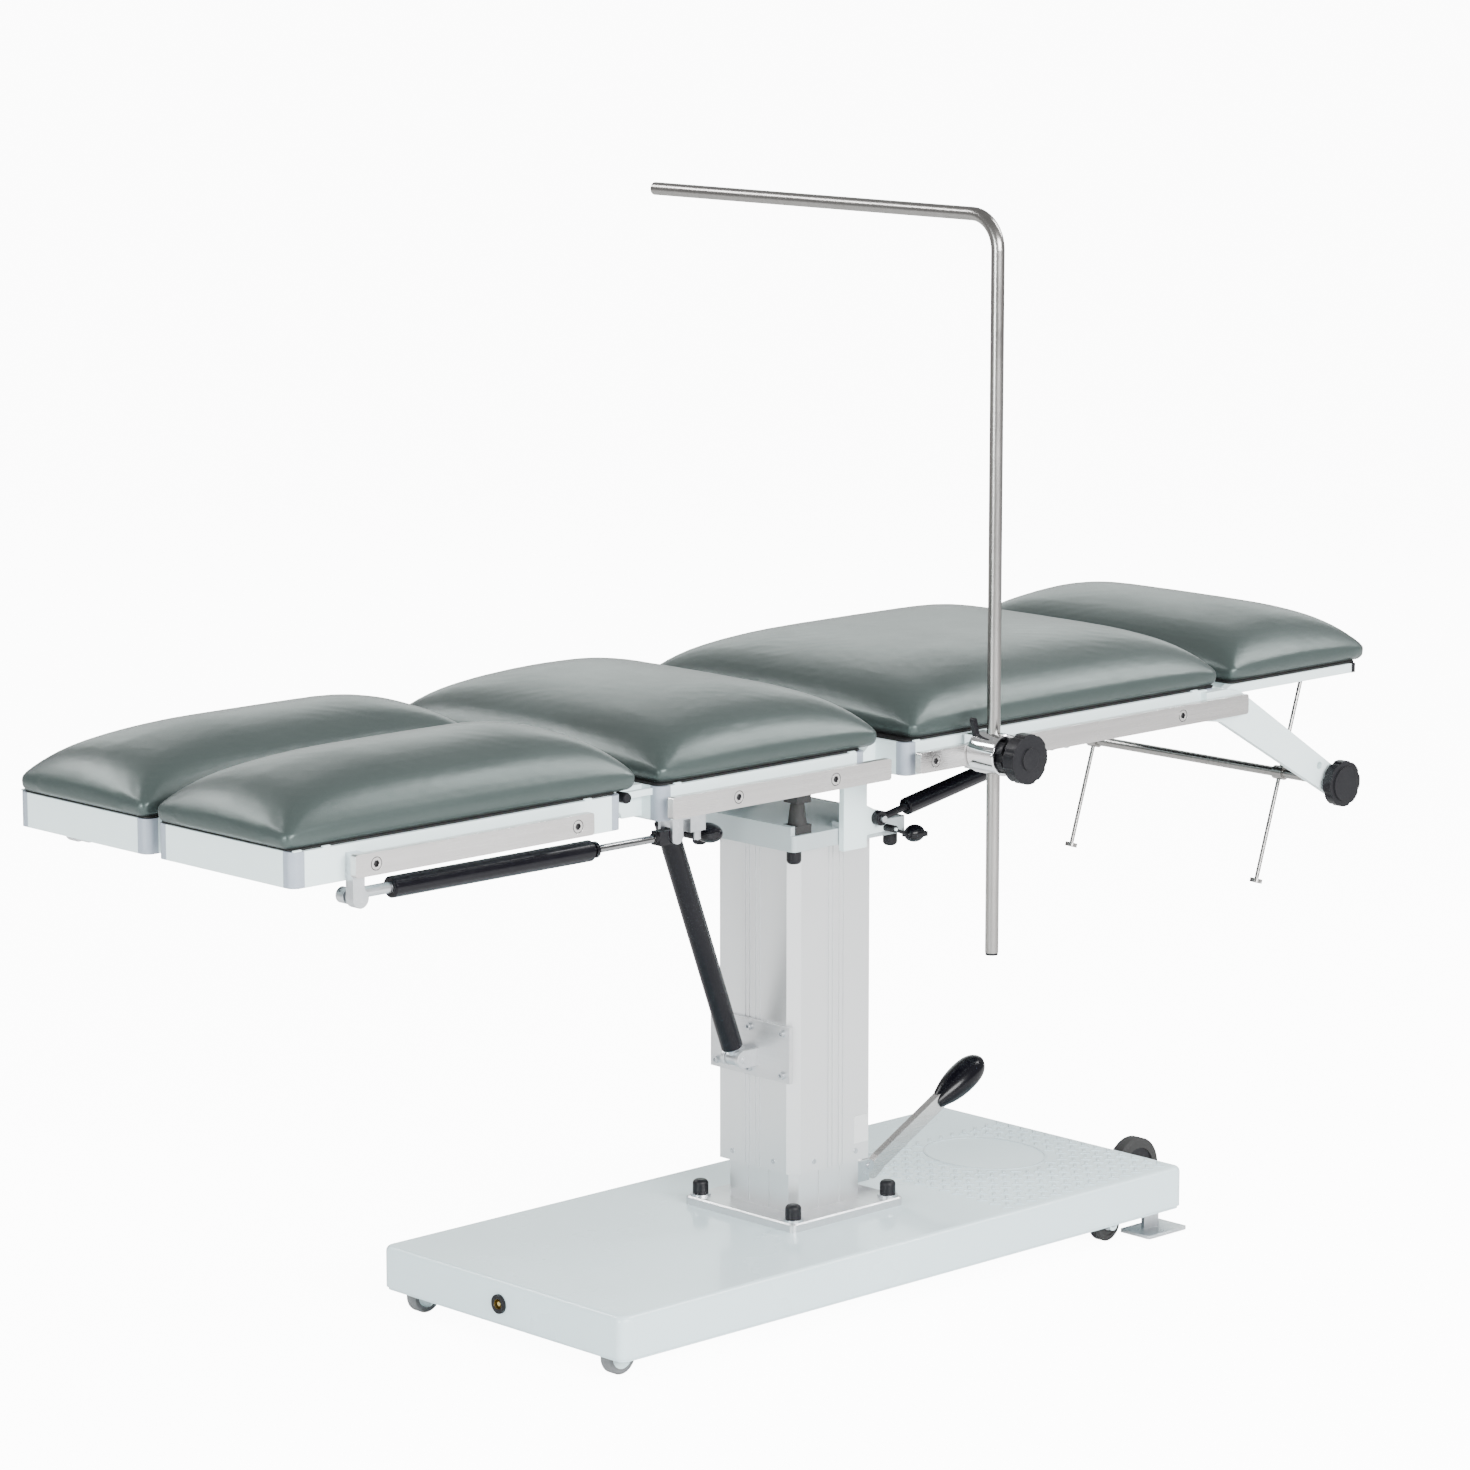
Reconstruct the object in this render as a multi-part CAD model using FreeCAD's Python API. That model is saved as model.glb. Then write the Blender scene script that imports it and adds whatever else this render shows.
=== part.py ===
import FreeCAD, Part
import math
import os

# Height-adjustable operating table with split legs, seat, back and head sections.
# Millimetres. Origin on the floor under the column; X runs to the head end, Y to the far side, Z up.

# Driving sizes of the base
GAP = 0.5
BASE_HALF_X = 540.0
BASE_HALF_Y = 238.0
BASE_BOTTOM = 29.0
BASE_THICK = 61.0
BASE_TOP = BASE_BOTTOM + BASE_THICK
BASE_CORNER = 14.0
BASE_EDGE = 8.0
TREAD_PITCH = 24.0
TREAD_LENGTH = 15.0
TREAD_WIDTH = 4.0
TREAD_HEIGHT = 1.2
TREAD_START = 190.0
TREAD_MARGIN = 14.0
TREAD_END = BASE_HALF_X - TREAD_MARGIN
TREAD_NEAR = -BASE_HALF_Y + TREAD_MARGIN
TREAD_FAR = 122.0
OVAL_LENGTH = 160.0
OVAL_WIDTH = 190.0
OVAL_X = 385.0
OVAL_Y = 3.0
OVAL_RIM = 3.0
SOCKET_DIAMETER = 26.0
SOCKET_DEPTH = 16.0
SOCKET_Z = BASE_BOTTOM + BASE_THICK * 0.484

# Driving sizes of the column
PLATE_HALF = 107.0
PLATE_THICK = 12.0
PLATE_TOP = BASE_TOP + PLATE_THICK
PLATE_BOLT = PLATE_HALF - 16.0
CAP_DIAMETER = 22.0
CAP_HEIGHT = 20.0
WASHER_DIAMETER = 28.0
WASHER_THICK = 3.0
INNER_HALF = 67.0
INNER_LENGTH = 448.0
INNER_TOP = PLATE_TOP + INNER_LENGTH
INNER_WALL = 6.0
INNER_CHAMFER = 10.0
OUTER_WALL = 9.0
GLIDE_GAP = 0.8
SLEEVE_GAP = 3.0
OUTER_HALF = INNER_HALF + SLEEVE_GAP + OUTER_WALL
OUTER_CHAMFER = 14.0
LIFT_GAP = 57.0
OUTER_LENGTH = 455.0
OUTER_BOTTOM = PLATE_TOP + LIFT_GAP
HEAD_BOTTOM = OUTER_BOTTOM + OUTER_LENGTH
HEAD_THICK = 22.0
HEAD_TOP = HEAD_BOTTOM + HEAD_THICK
LIP_THICK = 8.0
LIP_TOP = HEAD_TOP + 12.0
HEAD_CAP_INSET = 15.5
GROOVE_WIDTH = 3.0
GROOVE_DEPTH = 1.5
SCREW_RISE = 14.0
ANCHOR_Z = OUTER_BOTTOM + 168.0
ANCHOR_HALF_Y = 77.0
ANCHOR_HALF_Z = 39.0
ANCHOR_THICK = 6.0
EAR_THICK = 6.0
TILT_EYE = 20.0
STUB_DIAMETER = 20.0
STUB_GAP = 0.5
CHEEK_THICK = 14.0
UPRIGHT_GAP = 2.0
UPRIGHT_THICK = 9.0
STOP_HEIGHT = 66.0
BEAM_BOTTOM = HEAD_TOP + STOP_HEIGHT
BEAM_HEIGHT = 30.0
BEAM_TOP = BEAM_BOTTOM + BEAM_HEIGHT
BEAM_OUTER = PLATE_HALF + UPRIGHT_GAP + UPRIGHT_THICK
BEAM_WIDTH = 34.0
BEAM_INNER = BEAM_OUTER - BEAM_WIDTH
PAD_THICK = 2.0
TILT_AXIS = (-2.0, HEAD_TOP - 8.0)
UPRIGHT_HALF = 22.0
BEAM_HEAD_X = TILT_AXIS[0] + UPRIGHT_HALF
STOP_HALF = 13.0
STOP_Y = BEAM_INNER + 6.0
STOP_X = -PLATE_HALF + LIP_THICK

# Driving sizes of the section frames
HALF_WIDTH = 270.0
FRAME_BOTTOM = BEAM_TOP + PAD_THICK
FRAME_HEIGHT = 44.0
FRAME_TOP = FRAME_BOTTOM + FRAME_HEIGHT
BOARD_THICK = 4.0
RAIL_WIDTH = 30.0
RAIL_FACE = HALF_WIDTH - RAIL_WIDTH
CORNER = 18.0
CORNER_RADIUS = 11.0
LEG_LENGTH = 526.0
LEG_GAP = 20.0
SEAT_LENGTH = 367.0
BACK_LENGTH = 616.0
LEG_TO_SEAT = 64.0
SEAT_TO_BACK = 73.0
SEAT_FOOT_X = -502.0
SEAT_BACK_X = SEAT_FOOT_X + SEAT_LENGTH
LEG_SEAT_X = SEAT_FOOT_X - LEG_TO_SEAT
LEG_FOOT_X = LEG_SEAT_X - LEG_LENGTH
BACK_SEAT_X = SEAT_BACK_X + SEAT_TO_BACK
BACK_HEAD_X = BACK_SEAT_X + BACK_LENGTH
LEG_AXIS = (LEG_SEAT_X + 3.0, FRAME_TOP - 7.0)
BACK_AXIS = (SEAT_BACK_X + 5.0, FRAME_TOP - 8.0)
HEAD_AXIS = (BACK_HEAD_X + 16.0, FRAME_TOP - 10.0)
PIN = 12.0
PIN_GAP = 0.5
HUB_DIAMETER = 20.0
LUG_THICK = 8.0
LUG_INSET = 38.0
SEAT_CROSS = (SEAT_FOOT_X + 172.0, SEAT_BACK_X - 55.0)
BEAM_FOOT_X = SEAT_CROSS[0]

# Driving sizes of the cushions
CUSHION_BOTTOM = FRAME_TOP + BOARD_THICK
CUSHION_SIDE = 45.0
CUSHION_CROWN = 74.0
CUSHION_END = 84.0
BOARD_INSET = 4.0
LEG_CUSHION_X = (LEG_FOOT_X - 11.0, LEG_SEAT_X + 26.0)
SEAT_CUSHION_X = (SEAT_FOOT_X, SEAT_BACK_X + 37.0)
BACK_CUSHION_X = (BACK_SEAT_X + 12.0, BACK_HEAD_X + 21.0)

# Driving sizes of the accessory rails
RAIL_SPACER = 14.0
RAIL_THICK = 10.0
RAIL_HEIGHT = 28.0
RAIL_INNER = HALF_WIDTH + RAIL_SPACER
RAIL_OUTER = RAIL_INNER + RAIL_THICK
RAIL_BOTTOM = FRAME_BOTTOM + 6.0
RAIL_TOP = RAIL_BOTTOM + RAIL_HEIGHT
RAIL_CENTRE = RAIL_BOTTOM + RAIL_HEIGHT / 2
SCREW_DIAMETER = 17.0
LEG_RAIL_X = (LEG_FOOT_X + 76.0, LEG_SEAT_X - 69.0)
SEAT_RAIL_X = (SEAT_FOOT_X, SEAT_BACK_X + 22.0)
BACK_RAIL_X = (BACK_SEAT_X + 4.0, BACK_HEAD_X + 43.0)

# Driving sizes of the gas springs
EYE_DIAMETER = 20.0
EYE_PIN = 9.0
EYE_BORE = EYE_PIN + 2 * PIN_GAP
EYE_WIDTH = 16.0
TILT_PIN = 6.0
ROD_THICK = 10.0
ROD_GAP = 0.5
LEG_SPRING_DIAMETER = 27.0
TILT_SPRING_DIAMETER = 30.0
BACK_SPRING_DIAMETER = 24.0
LEG_SPRING_Y = HALF_WIDTH - 15.0
LEG_SPRING_FOOT = (LEG_RAIL_X[0] + 16.0, RAIL_BOTTOM - 28.0)
LEG_SPRING_HEAD = (SEAT_FOOT_X + 32.0, FRAME_BOTTOM - 24.0)
TILT_FOOT = (-OUTER_HALF - 33.0, ANCHOR_Z - 11.0)
TILT_TOP = (BEAM_FOOT_X + 68.0, BEAM_BOTTOM + 13.0)
BACK_SPRING_Y = BEAM_OUTER + 5.5
BACK_SPRING_FOOT = (TILT_AXIS[0] + 40.0, TILT_AXIS[1] + 16.0)
BACK_SPRING_HEAD = (BACK_SEAT_X + 457.0, FRAME_BOTTOM - 26.0)
PADDLE_PIN = 4.6
PADDLE_BORE = PADDLE_PIN + 0.8
PADDLE_BOSS = 10.0
PADDLE_HALF = 9.0
LEG_PADDLE = (LEG_SPRING_HEAD[0] + 36.0, FRAME_BOTTOM - 28.0)
BACK_PADDLE = (BACK_SPRING_FOOT[0] + 22.0, BACK_SPRING_FOOT[1] - 17.0)

# Driving sizes of the head section and its support
HEAD_BAR = 12.0
HEAD_BAR_Y = HALF_WIDTH - 8.0
HEAD_LENGTH = 282.0
HEAD_END_X = HEAD_AXIS[0] + HEAD_LENGTH
HEAD_PIN = 8.0
HEAD_CUSHION_X = (HEAD_AXIS[0] + 20.0, HEAD_END_X + 43.0)
ARM_INNER = HALF_WIDTH
ARM_THICK = 10.0
ARM_WIDTH = 48.0
SPINDLE = (HEAD_AXIS[0] + 233.0, HEAD_AXIS[1] - 154.0)
SPINDLE_DIAMETER = 14.0
SPINDLE_GAP = 0.4
ROD_Y = 180.0
ROD_DIAMETER = 6.0
ROD_PLAY = 1.2
ROD_TOP = (HEAD_END_X - 2.0, FRAME_TOP - 18.0)
ROD_SPAN = (-95.0, -295.0)
KNOB_DIAMETER = 66.0
KNOB_THICK = 14.0

# Driving sizes of the screen bar
BAR_DIAMETER = 18.0
BAR_GAP = 0.4
BAR_X = BACK_SEAT_X + 116.0
BAR_OFFSET = 24.0
BAR_Y = -RAIL_OUTER - BAR_OFFSET
BAR_FOOT_Z = 488.0
BAR_TOP_Z = 1464.0
BAR_BEND = 45.0
BAR_END_Y = 333.0
CLAMP_DIAMETER = 56.0
CLAMP_REACH = 24.0
JAW_HALF = 15.0
JAW_RISE = 23.0
RECESS_DIAMETER = 48.0
RECESS_DEPTH = 10.0
STAR_DIAMETER = 46.0
STAR_THICK = 20.0
KNOB_SHAFT = 12.0
KNOB_STANDOFF = 48.0
CLAMP_KNOB_DIAMETER = 67.0
CLAMP_KNOB_THICK = 18.0
CLAMP_Z = RAIL_CENTRE + 3.0

# Driving sizes of the running gear and the pump lever
CASTOR_DIAMETER = 50.0
CASTOR_WIDTH = 18.0
CASTOR_TRAIL = 12.0
POCKET_RADIUS = 41.0
POCKET_WALL = 5.0
POCKET_TOP = CASTOR_DIAMETER + 10.0
CASTOR_X = -BASE_HALF_X + POCKET_RADIUS + POCKET_WALL
CASTOR_Y = BASE_HALF_Y - POCKET_RADIUS - POCKET_WALL
AXLE = 6.0
AXLE_GAP = 0.4
HEAD_AXLE = 5.0
HEAD_WHEEL_X = BASE_HALF_X - 130.0
HEAD_WHEEL_Y = BASE_HALF_Y - 33.0
TRANSPORT_X = BASE_HALF_X + 66.0
TRANSPORT_Y = -82.0
TRANSPORT_DIAMETER = 90.0
TRANSPORT_WIDTH = 24.0
PEDAL_X = BASE_HALF_X - 55.0
PEDAL_Y = -BASE_HALF_Y + 14.0
PEDAL_BOTTOM = 3.0
PEDAL_THICK = 5.0
PEDAL_STRAP_X = 15.0
PEDAL_STRAP_Y = 3.0
LEVER_WIDTH = 22.0
LEVER_HALF = 6.0
LEVER_PIN = 9.0
LEVER_PIVOT = (PLATE_HALF + 26.0, PLATE_TOP + 20.0)
LEVER_FOOT = (LEVER_PIVOT[0] + 17.0, LEVER_PIVOT[1] - 12.0)
LEVER_BEND = (LEVER_PIVOT[0] + 33.0, LEVER_PIVOT[1])
LEVER_TIP = (LEVER_BEND[0] + 122.0, LEVER_BEND[1] + 65.0)
GRIP_LENGTH = 105.0
GRIP_DIAMETER = 43.0

VEC = FreeCAD.Vector
UP = VEC(0, 0, 1)
ALONG = VEC(1, 0, 0)
ACROSS = VEC(0, 1, 0)


def save(name, shape):
    """Write one named piece."""
    solid = shape.removeSplitter()
    solid.exportStep("parts/" + name + ".step")


def block(x0, x1, y0, y1, z0, z1):
    """Straight box between two corners."""
    corner = VEC(min(x0, x1), min(y0, y1), min(z0, z1))
    return Part.makeBox(abs(x1 - x0), abs(y1 - y0), abs(z1 - z0), corner)


def tube_x(x0, x1, y, z, diameter):
    """Round bar along X."""
    return Part.makeCylinder(diameter / 2, x1 - x0, VEC(x0, y, z), ALONG)


def tube_y(y0, y1, x, z, diameter):
    """Round bar along Y."""
    low = min(y0, y1)
    return Part.makeCylinder(diameter / 2, abs(y1 - y0), VEC(x, low, z), ACROSS)


def tube_z(z0, z1, x, y, diameter):
    """Round bar along Z."""
    return Part.makeCylinder(diameter / 2, z1 - z0, VEC(x, y, z0), UP)


def both(shape):
    """The shape and its mirror image on the other side of the table."""
    return shape.fuse(shape.mirror(VEC(0, 0, 0), ACROSS))


def fuse(shapes):
    """Join a list of touching shapes."""
    first = shapes[0]
    return first.fuse(shapes[1:]) if len(shapes) > 1 else first


def upright_edges(shape, corners, tolerance=0.6):
    """Vertical edges that stand at the given (x, y) points."""
    found = []
    for edge in shape.Edges:
        middle = edge.CenterOfMass
        box = edge.BoundBox
        upright = box.XLength < 0.01 and box.YLength < 0.01
        near = any(math.hypot(middle.x - x, middle.y - y) < tolerance for x, y in corners)
        if upright and near:
            found.append(edge)
    return found


def rounded_block(x0, x1, y0, y1, z0, z1, radius):
    """Box with all its vertical edges rounded."""
    shape = block(x0, x1, y0, y1, z0, z1)
    corners = [(x, y) for x in (x0, x1) for y in (y0, y1)]
    return shape.makeFillet(radius, upright_edges(shape, corners))


def plate_xz(points, y0, y1):
    """Flat plate cut to an outline in the X-Z plane, from y0 to y1."""
    low = min(y0, y1)
    corners = [VEC(x, low, z) for x, z in points]
    face = Part.Face(Part.makePolygon(corners + corners[:1]))
    return face.extrude(VEC(0, abs(y1 - y0), 0))


def strap_xz(start, end, width, y0, y1):
    """Straight strap between two (x, z) points with round ends."""
    dx = end[0] - start[0]
    dz = end[1] - start[1]
    length = math.hypot(dx, dz)
    nx = -dz / length * width / 2
    nz = dx / length * width / 2
    outline = [(start[0] + nx, start[1] + nz), (end[0] + nx, end[1] + nz)]
    outline += [(end[0] - nx, end[1] - nz), (start[0] - nx, start[1] - nz)]
    body = plate_xz(outline, y0, y1)
    ends = [tube_y(y0, y1, point[0], point[1], width) for point in (start, end)]
    return body.fuse(ends)


def dome(x, y, z, diameter, height):
    """Short cylinder with a rounded top, standing on z."""
    shape = tube_z(z, z + height, x, y, diameter)
    top = [edge for edge in shape.Edges if edge.BoundBox.ZMin > z + height - 0.01]
    return shape.makeFillet(diameter * 0.27, top)


def octagon_column(half, chamfer, z0, z1):
    """Square bar with chamfered vertical corners, centred on the column."""
    shape = block(-half, half, -half, half, z0, z1)
    corners = [(x, y) for x in (-half, half) for y in (-half, half)]
    return shape.makeChamfer(chamfer, upright_edges(shape, corners))


# Base
def base_slab():
    """Moulded slab with tread ribs and wheel pockets."""
    shape = rounded_block(-BASE_HALF_X, BASE_HALF_X, -BASE_HALF_Y, BASE_HALF_Y, BASE_BOTTOM, BASE_TOP,
                          BASE_CORNER)
    rim = [edge for edge in shape.Edges if edge.BoundBox.ZMin > BASE_TOP - 0.01]
    shape = shape.makeFillet(BASE_EDGE, rim)
    skirt = block(-BASE_HALF_X - 1, BASE_HALF_X + 1, -BASE_HALF_Y - 1, BASE_HALF_Y + 1, BASE_BOTTOM - 1,
                  BASE_BOTTOM + 4)
    inside = rounded_block(-BASE_HALF_X + 3, BASE_HALF_X - 3, -BASE_HALF_Y + 3, BASE_HALF_Y - 3,
                           BASE_BOTTOM - 1, BASE_BOTTOM + 4, BASE_CORNER - 3)
    shape = shape.cut(skirt.cut(inside))
    for side in (-1, 1):
        y = side * CASTOR_Y
        shape = shape.cut(tube_z(BASE_BOTTOM - 1, POCKET_TOP, CASTOR_X, y, 2 * POCKET_RADIUS))
        shape = shape.cut(tube_z(POCKET_TOP - 1, POCKET_TOP + 18, CASTOR_X, y, PIN + 2 * PIN_GAP))
        wheel_y = side * HEAD_WHEEL_Y
        reach = CASTOR_DIAMETER / 2 + 4
        shape = shape.cut(block(HEAD_WHEEL_X - reach, HEAD_WHEEL_X + reach, wheel_y - CASTOR_WIDTH / 2 - 4,
                                wheel_y + CASTOR_WIDTH / 2 + 4, BASE_BOTTOM - 1, CASTOR_DIAMETER + 4))
        for place in (-1, 1):
            y = wheel_y + place * (CASTOR_WIDTH / 2 + 6)
            ear = block(HEAD_WHEEL_X - 8, HEAD_WHEEL_X + 8, y - 2.5, y + 2.5, CASTOR_DIAMETER / 2,
                        BASE_BOTTOM + 1)
            ear = ear.fuse(tube_y(y - 2.5, y + 2.5, HEAD_WHEEL_X, CASTOR_DIAMETER / 2, 16.0))
            ear = ear.cut(tube_y(y - 4, y + 4, HEAD_WHEEL_X, CASTOR_DIAMETER / 2, HEAD_AXLE + 2 * PIN_GAP))
            shape = shape.fuse(ear)
    half_x = PEDAL_STRAP_X + GAP
    half_y = PEDAL_STRAP_Y + GAP
    slot = block(PEDAL_X - half_x, PEDAL_X + half_x, PEDAL_Y - half_y, PEDAL_Y + half_y, BASE_BOTTOM - 1,
                 BASE_TOP - 18)
    shape = shape.cut(slot)
    shape = shape.cut(tube_x(-BASE_HALF_X - 1, -BASE_HALF_X + SOCKET_DEPTH, 0, SOCKET_Z, SOCKET_DIAMETER))
    ribs = []
    rows = int((TREAD_FAR - TREAD_NEAR) / TREAD_PITCH * 2)
    columns = int((TREAD_END - TREAD_START) / TREAD_PITCH)
    for row in range(rows):
        y = TREAD_NEAR + 8 + row * TREAD_PITCH / 2
        for column in range(columns):
            x = TREAD_START + 10 + column * TREAD_PITCH + (row % 2) * TREAD_PITCH / 2
            if not in_oval(x, y, TREAD_LENGTH / 2):
                lean = 45 if row % 2 else -45
                ribs.append(tread_rib(x, y, lean))
    return shape.fuse(ribs + [oval(0).cut(oval(OVAL_RIM))])


def in_oval(x, y, margin):
    """True where a point lies in the tread's bare oval or nearer to it than the margin."""
    across = (x - OVAL_X) / (OVAL_LENGTH / 2 + margin)
    along = (y - OVAL_Y) / (OVAL_WIDTH / 2 + margin)
    return across * across + along * along < 1


def oval(inset):
    """Low oval plate on the slab's top, smaller by the inset all round."""
    centre = VEC(OVAL_X, OVAL_Y, BASE_TOP - 0.5)
    half_long = OVAL_WIDTH / 2 - inset
    half_short = OVAL_LENGTH / 2 - inset
    line = Part.Ellipse(centre + VEC(0, half_long, 0), centre + VEC(half_short, 0, 0), centre)
    height = TREAD_HEIGHT * 0.6 + 0.5
    return Part.Face(Part.Wire(line.toShape())).extrude(UP * height)


def tread_rib(x, y, lean):
    """One slanted tread rib, lying on the slab's top."""
    half = TREAD_LENGTH / 2
    rib = block(-half, half, -TREAD_WIDTH / 2, TREAD_WIDTH / 2, -0.5, TREAD_HEIGHT)
    rib.rotate(VEC(0, 0, 0), UP, lean)
    rib.translate(VEC(x, y, BASE_TOP))
    return rib


def bonding_socket():
    """Round socket with a central pin in the base's foot face."""
    back = -BASE_HALF_X + SOCKET_DEPTH
    bush = tube_x(-BASE_HALF_X - 3, back, 0, SOCKET_Z, SOCKET_DIAMETER)
    hollow = tube_x(-BASE_HALF_X - 4, back - 4, 0, SOCKET_Z, 14.0)
    pin = tube_x(-BASE_HALF_X - 1, back - 2, 0, SOCKET_Z, 6.0)
    return bush.cut(hollow).fuse(pin)


def column_plate():
    """Square plate that bolts the column to the base."""
    shape = rounded_block(-PLATE_HALF, PLATE_HALF, -PLATE_HALF, PLATE_HALF, BASE_TOP, PLATE_TOP, 8.0)
    rim = [edge for edge in shape.Edges if edge.BoundBox.ZMin > PLATE_TOP - 0.01]
    return shape.makeChamfer(2.0, rim)


def plate_caps():
    """Four domed bolt caps on washers."""
    shapes = []
    floor = PLATE_TOP
    for x in (-PLATE_BOLT, PLATE_BOLT):
        for y in (-PLATE_BOLT, PLATE_BOLT):
            shapes.append(tube_z(floor, floor + WASHER_THICK, x, y, WASHER_DIAMETER))
            shapes.append(dome(x, y, floor + WASHER_THICK, CAP_DIAMETER, CAP_HEIGHT))
    return fuse(shapes)


def column_inner():
    """Inner square tube, standing on the column plate."""
    floor = PLATE_TOP
    shape = octagon_column(INNER_HALF, INNER_CHAMFER, floor, INNER_TOP)
    shape = shape.cut(octagon_column(INNER_HALF - INNER_WALL, INNER_CHAMFER - 2, floor + INNER_WALL,
                                     INNER_TOP + 1))
    return cut_grooves(shape, INNER_HALF, floor - 1, INNER_TOP + 1, (-20, 20))


def cut_grooves(shape, half, z0, z1, places):
    """Fine upright grooves cut in all four faces of a square column."""
    for place in places:
        for face in (-1, 1):
            depth0 = face * (half - GROOVE_DEPTH)
            depth1 = face * (half + 1)
            low = place - GROOVE_WIDTH / 2
            high = place + GROOVE_WIDTH / 2
            shape = shape.cut(block(depth0, depth1, low, high, z0, z1))
            shape = shape.cut(block(low, high, depth0, depth1, z0, z1))
    return shape


def column_outer():
    """Outer square sleeve that rides up and down the inner tube."""
    shape = octagon_column(OUTER_HALF, OUTER_CHAMFER, OUTER_BOTTOM, HEAD_BOTTOM)
    shape = shape.cut(octagon_column(INNER_HALF + SLEEVE_GAP, INNER_CHAMFER, OUTER_BOTTOM + 24,
                                     HEAD_BOTTOM + 1))
    shape = shape.cut(octagon_column(INNER_HALF + GLIDE_GAP, INNER_CHAMFER - 1, OUTER_BOTTOM - 1,
                                     OUTER_BOTTOM + 25))
    return cut_grooves(shape, OUTER_HALF, OUTER_BOTTOM - 1, HEAD_BOTTOM + 1, (-14, -6, 6, 14))


def column_screws():
    """Small screws around the sleeve's lower end and the six of the anchor plate."""
    shapes = []
    for turn in range(4):
        for side in (-40, 40):
            screw = tube_x(OUTER_HALF, OUTER_HALF + 1.2, side, OUTER_BOTTOM + SCREW_RISE, 7.0)
            socket = tube_x(OUTER_HALF + 0.2, OUTER_HALF + 2, side, OUTER_BOTTOM + SCREW_RISE, 3.0)
            screw = screw.cut(socket)
            screw.rotate(VEC(0, 0, 0), UP, 90 * turn)
            shapes.append(screw)
    face = -OUTER_HALF - ANCHOR_THICK
    for y in (13 - ANCHOR_HALF_Y, 0, ANCHOR_HALF_Y - 13):
        for z in (10 - ANCHOR_HALF_Z, ANCHOR_HALF_Z - 10):
            head = tube_x(face - 5, face, y, ANCHOR_Z + z, 10.0)
            socket = tube_x(face - 6, face - 2, y, ANCHOR_Z + z, 5.0)
            shapes.append(head.cut(socket))
    return Part.makeCompound(shapes)


def anchor_plate():
    """Plate on the sleeve's foot face with the clevis of the tilt gas spring."""
    back = -OUTER_HALF
    face = back - ANCHOR_THICK
    shape = block(face, back, -ANCHOR_HALF_Y, ANCHOR_HALF_Y, ANCHOR_Z - ANCHOR_HALF_Z, ANCHOR_Z + ANCHOR_HALF_Z)
    x, z = TILT_FOOT
    near = TILT_EYE / 2 + 1
    for side in (-1, 1):
        ear = block(x, face + 1, side * near, side * (near + EAR_THICK), z - 12, z + 12)
        ear = ear.fuse(tube_y(side * near, side * (near + EAR_THICK), x, z, 24.0))
        shape = shape.fuse(ear)
    return shape.fuse(tube_y(-near - EAR_THICK - 3, near + EAR_THICK + 3, x, z, EYE_PIN))


def column_head():
    """Tray on top of the sleeve with the pivot stubs of the tilt yoke."""
    half = PLATE_HALF
    shape = rounded_block(-half, half, -half, half, HEAD_BOTTOM, HEAD_TOP, 6.0)
    lip = block(-half, -half + LIP_THICK, -half + 6, half - 6, HEAD_TOP - 1, LIP_TOP)
    shape = shape.fuse(lip)
    x, z = TILT_AXIS
    for side in (-1, 1):
        cheek = block(x - 20, x + 20, side * (half - CHEEK_THICK), side * half, HEAD_TOP - 1, z + 16)
        stub = tube_y(side * (half - CHEEK_THICK), side * (BEAM_OUTER - 3), x, z, STUB_DIAMETER)
        shape = shape.fuse([cheek, stub])
    return shape


def head_caps():
    """Four domed bolt heads under the tray's corners."""
    shapes = []
    inset = PLATE_HALF - HEAD_CAP_INSET
    for x in (-inset, inset):
        for y in (-inset, inset):
            cap = dome(0, 0, 0, 20.0, 19.0)
            cap.rotate(VEC(0, 0, 0), ALONG, 180)
            cap.translate(VEC(x, y, HEAD_BOTTOM))
            shapes.append(cap)
    return Part.makeCompound(shapes)


def rubber_stops():
    """Two rubber stops on which the tilting top rests."""
    shapes = []
    for side in (-1, 1):
        y = side * STOP_Y
        middle = STOP_X + STOP_HALF + 2
        foot = block(STOP_X, STOP_X + 2 * STOP_HALF + 3, y - STOP_HALF, y + STOP_HALF, HEAD_TOP, HEAD_TOP + 12)
        cone = Part.makeCone(STOP_HALF, STOP_HALF - 4, STOP_HEIGHT - 34, VEC(middle, y, HEAD_TOP + 12), UP)
        cap = block(STOP_X + 2, STOP_X + 2 * STOP_HALF + 2, y - STOP_HALF, y + STOP_HALF, BEAM_BOTTOM - 24,
                    BEAM_BOTTOM - GAP)
        shapes.append(fuse([foot, cone, cap]))
    return Part.makeCompound(shapes)


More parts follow.
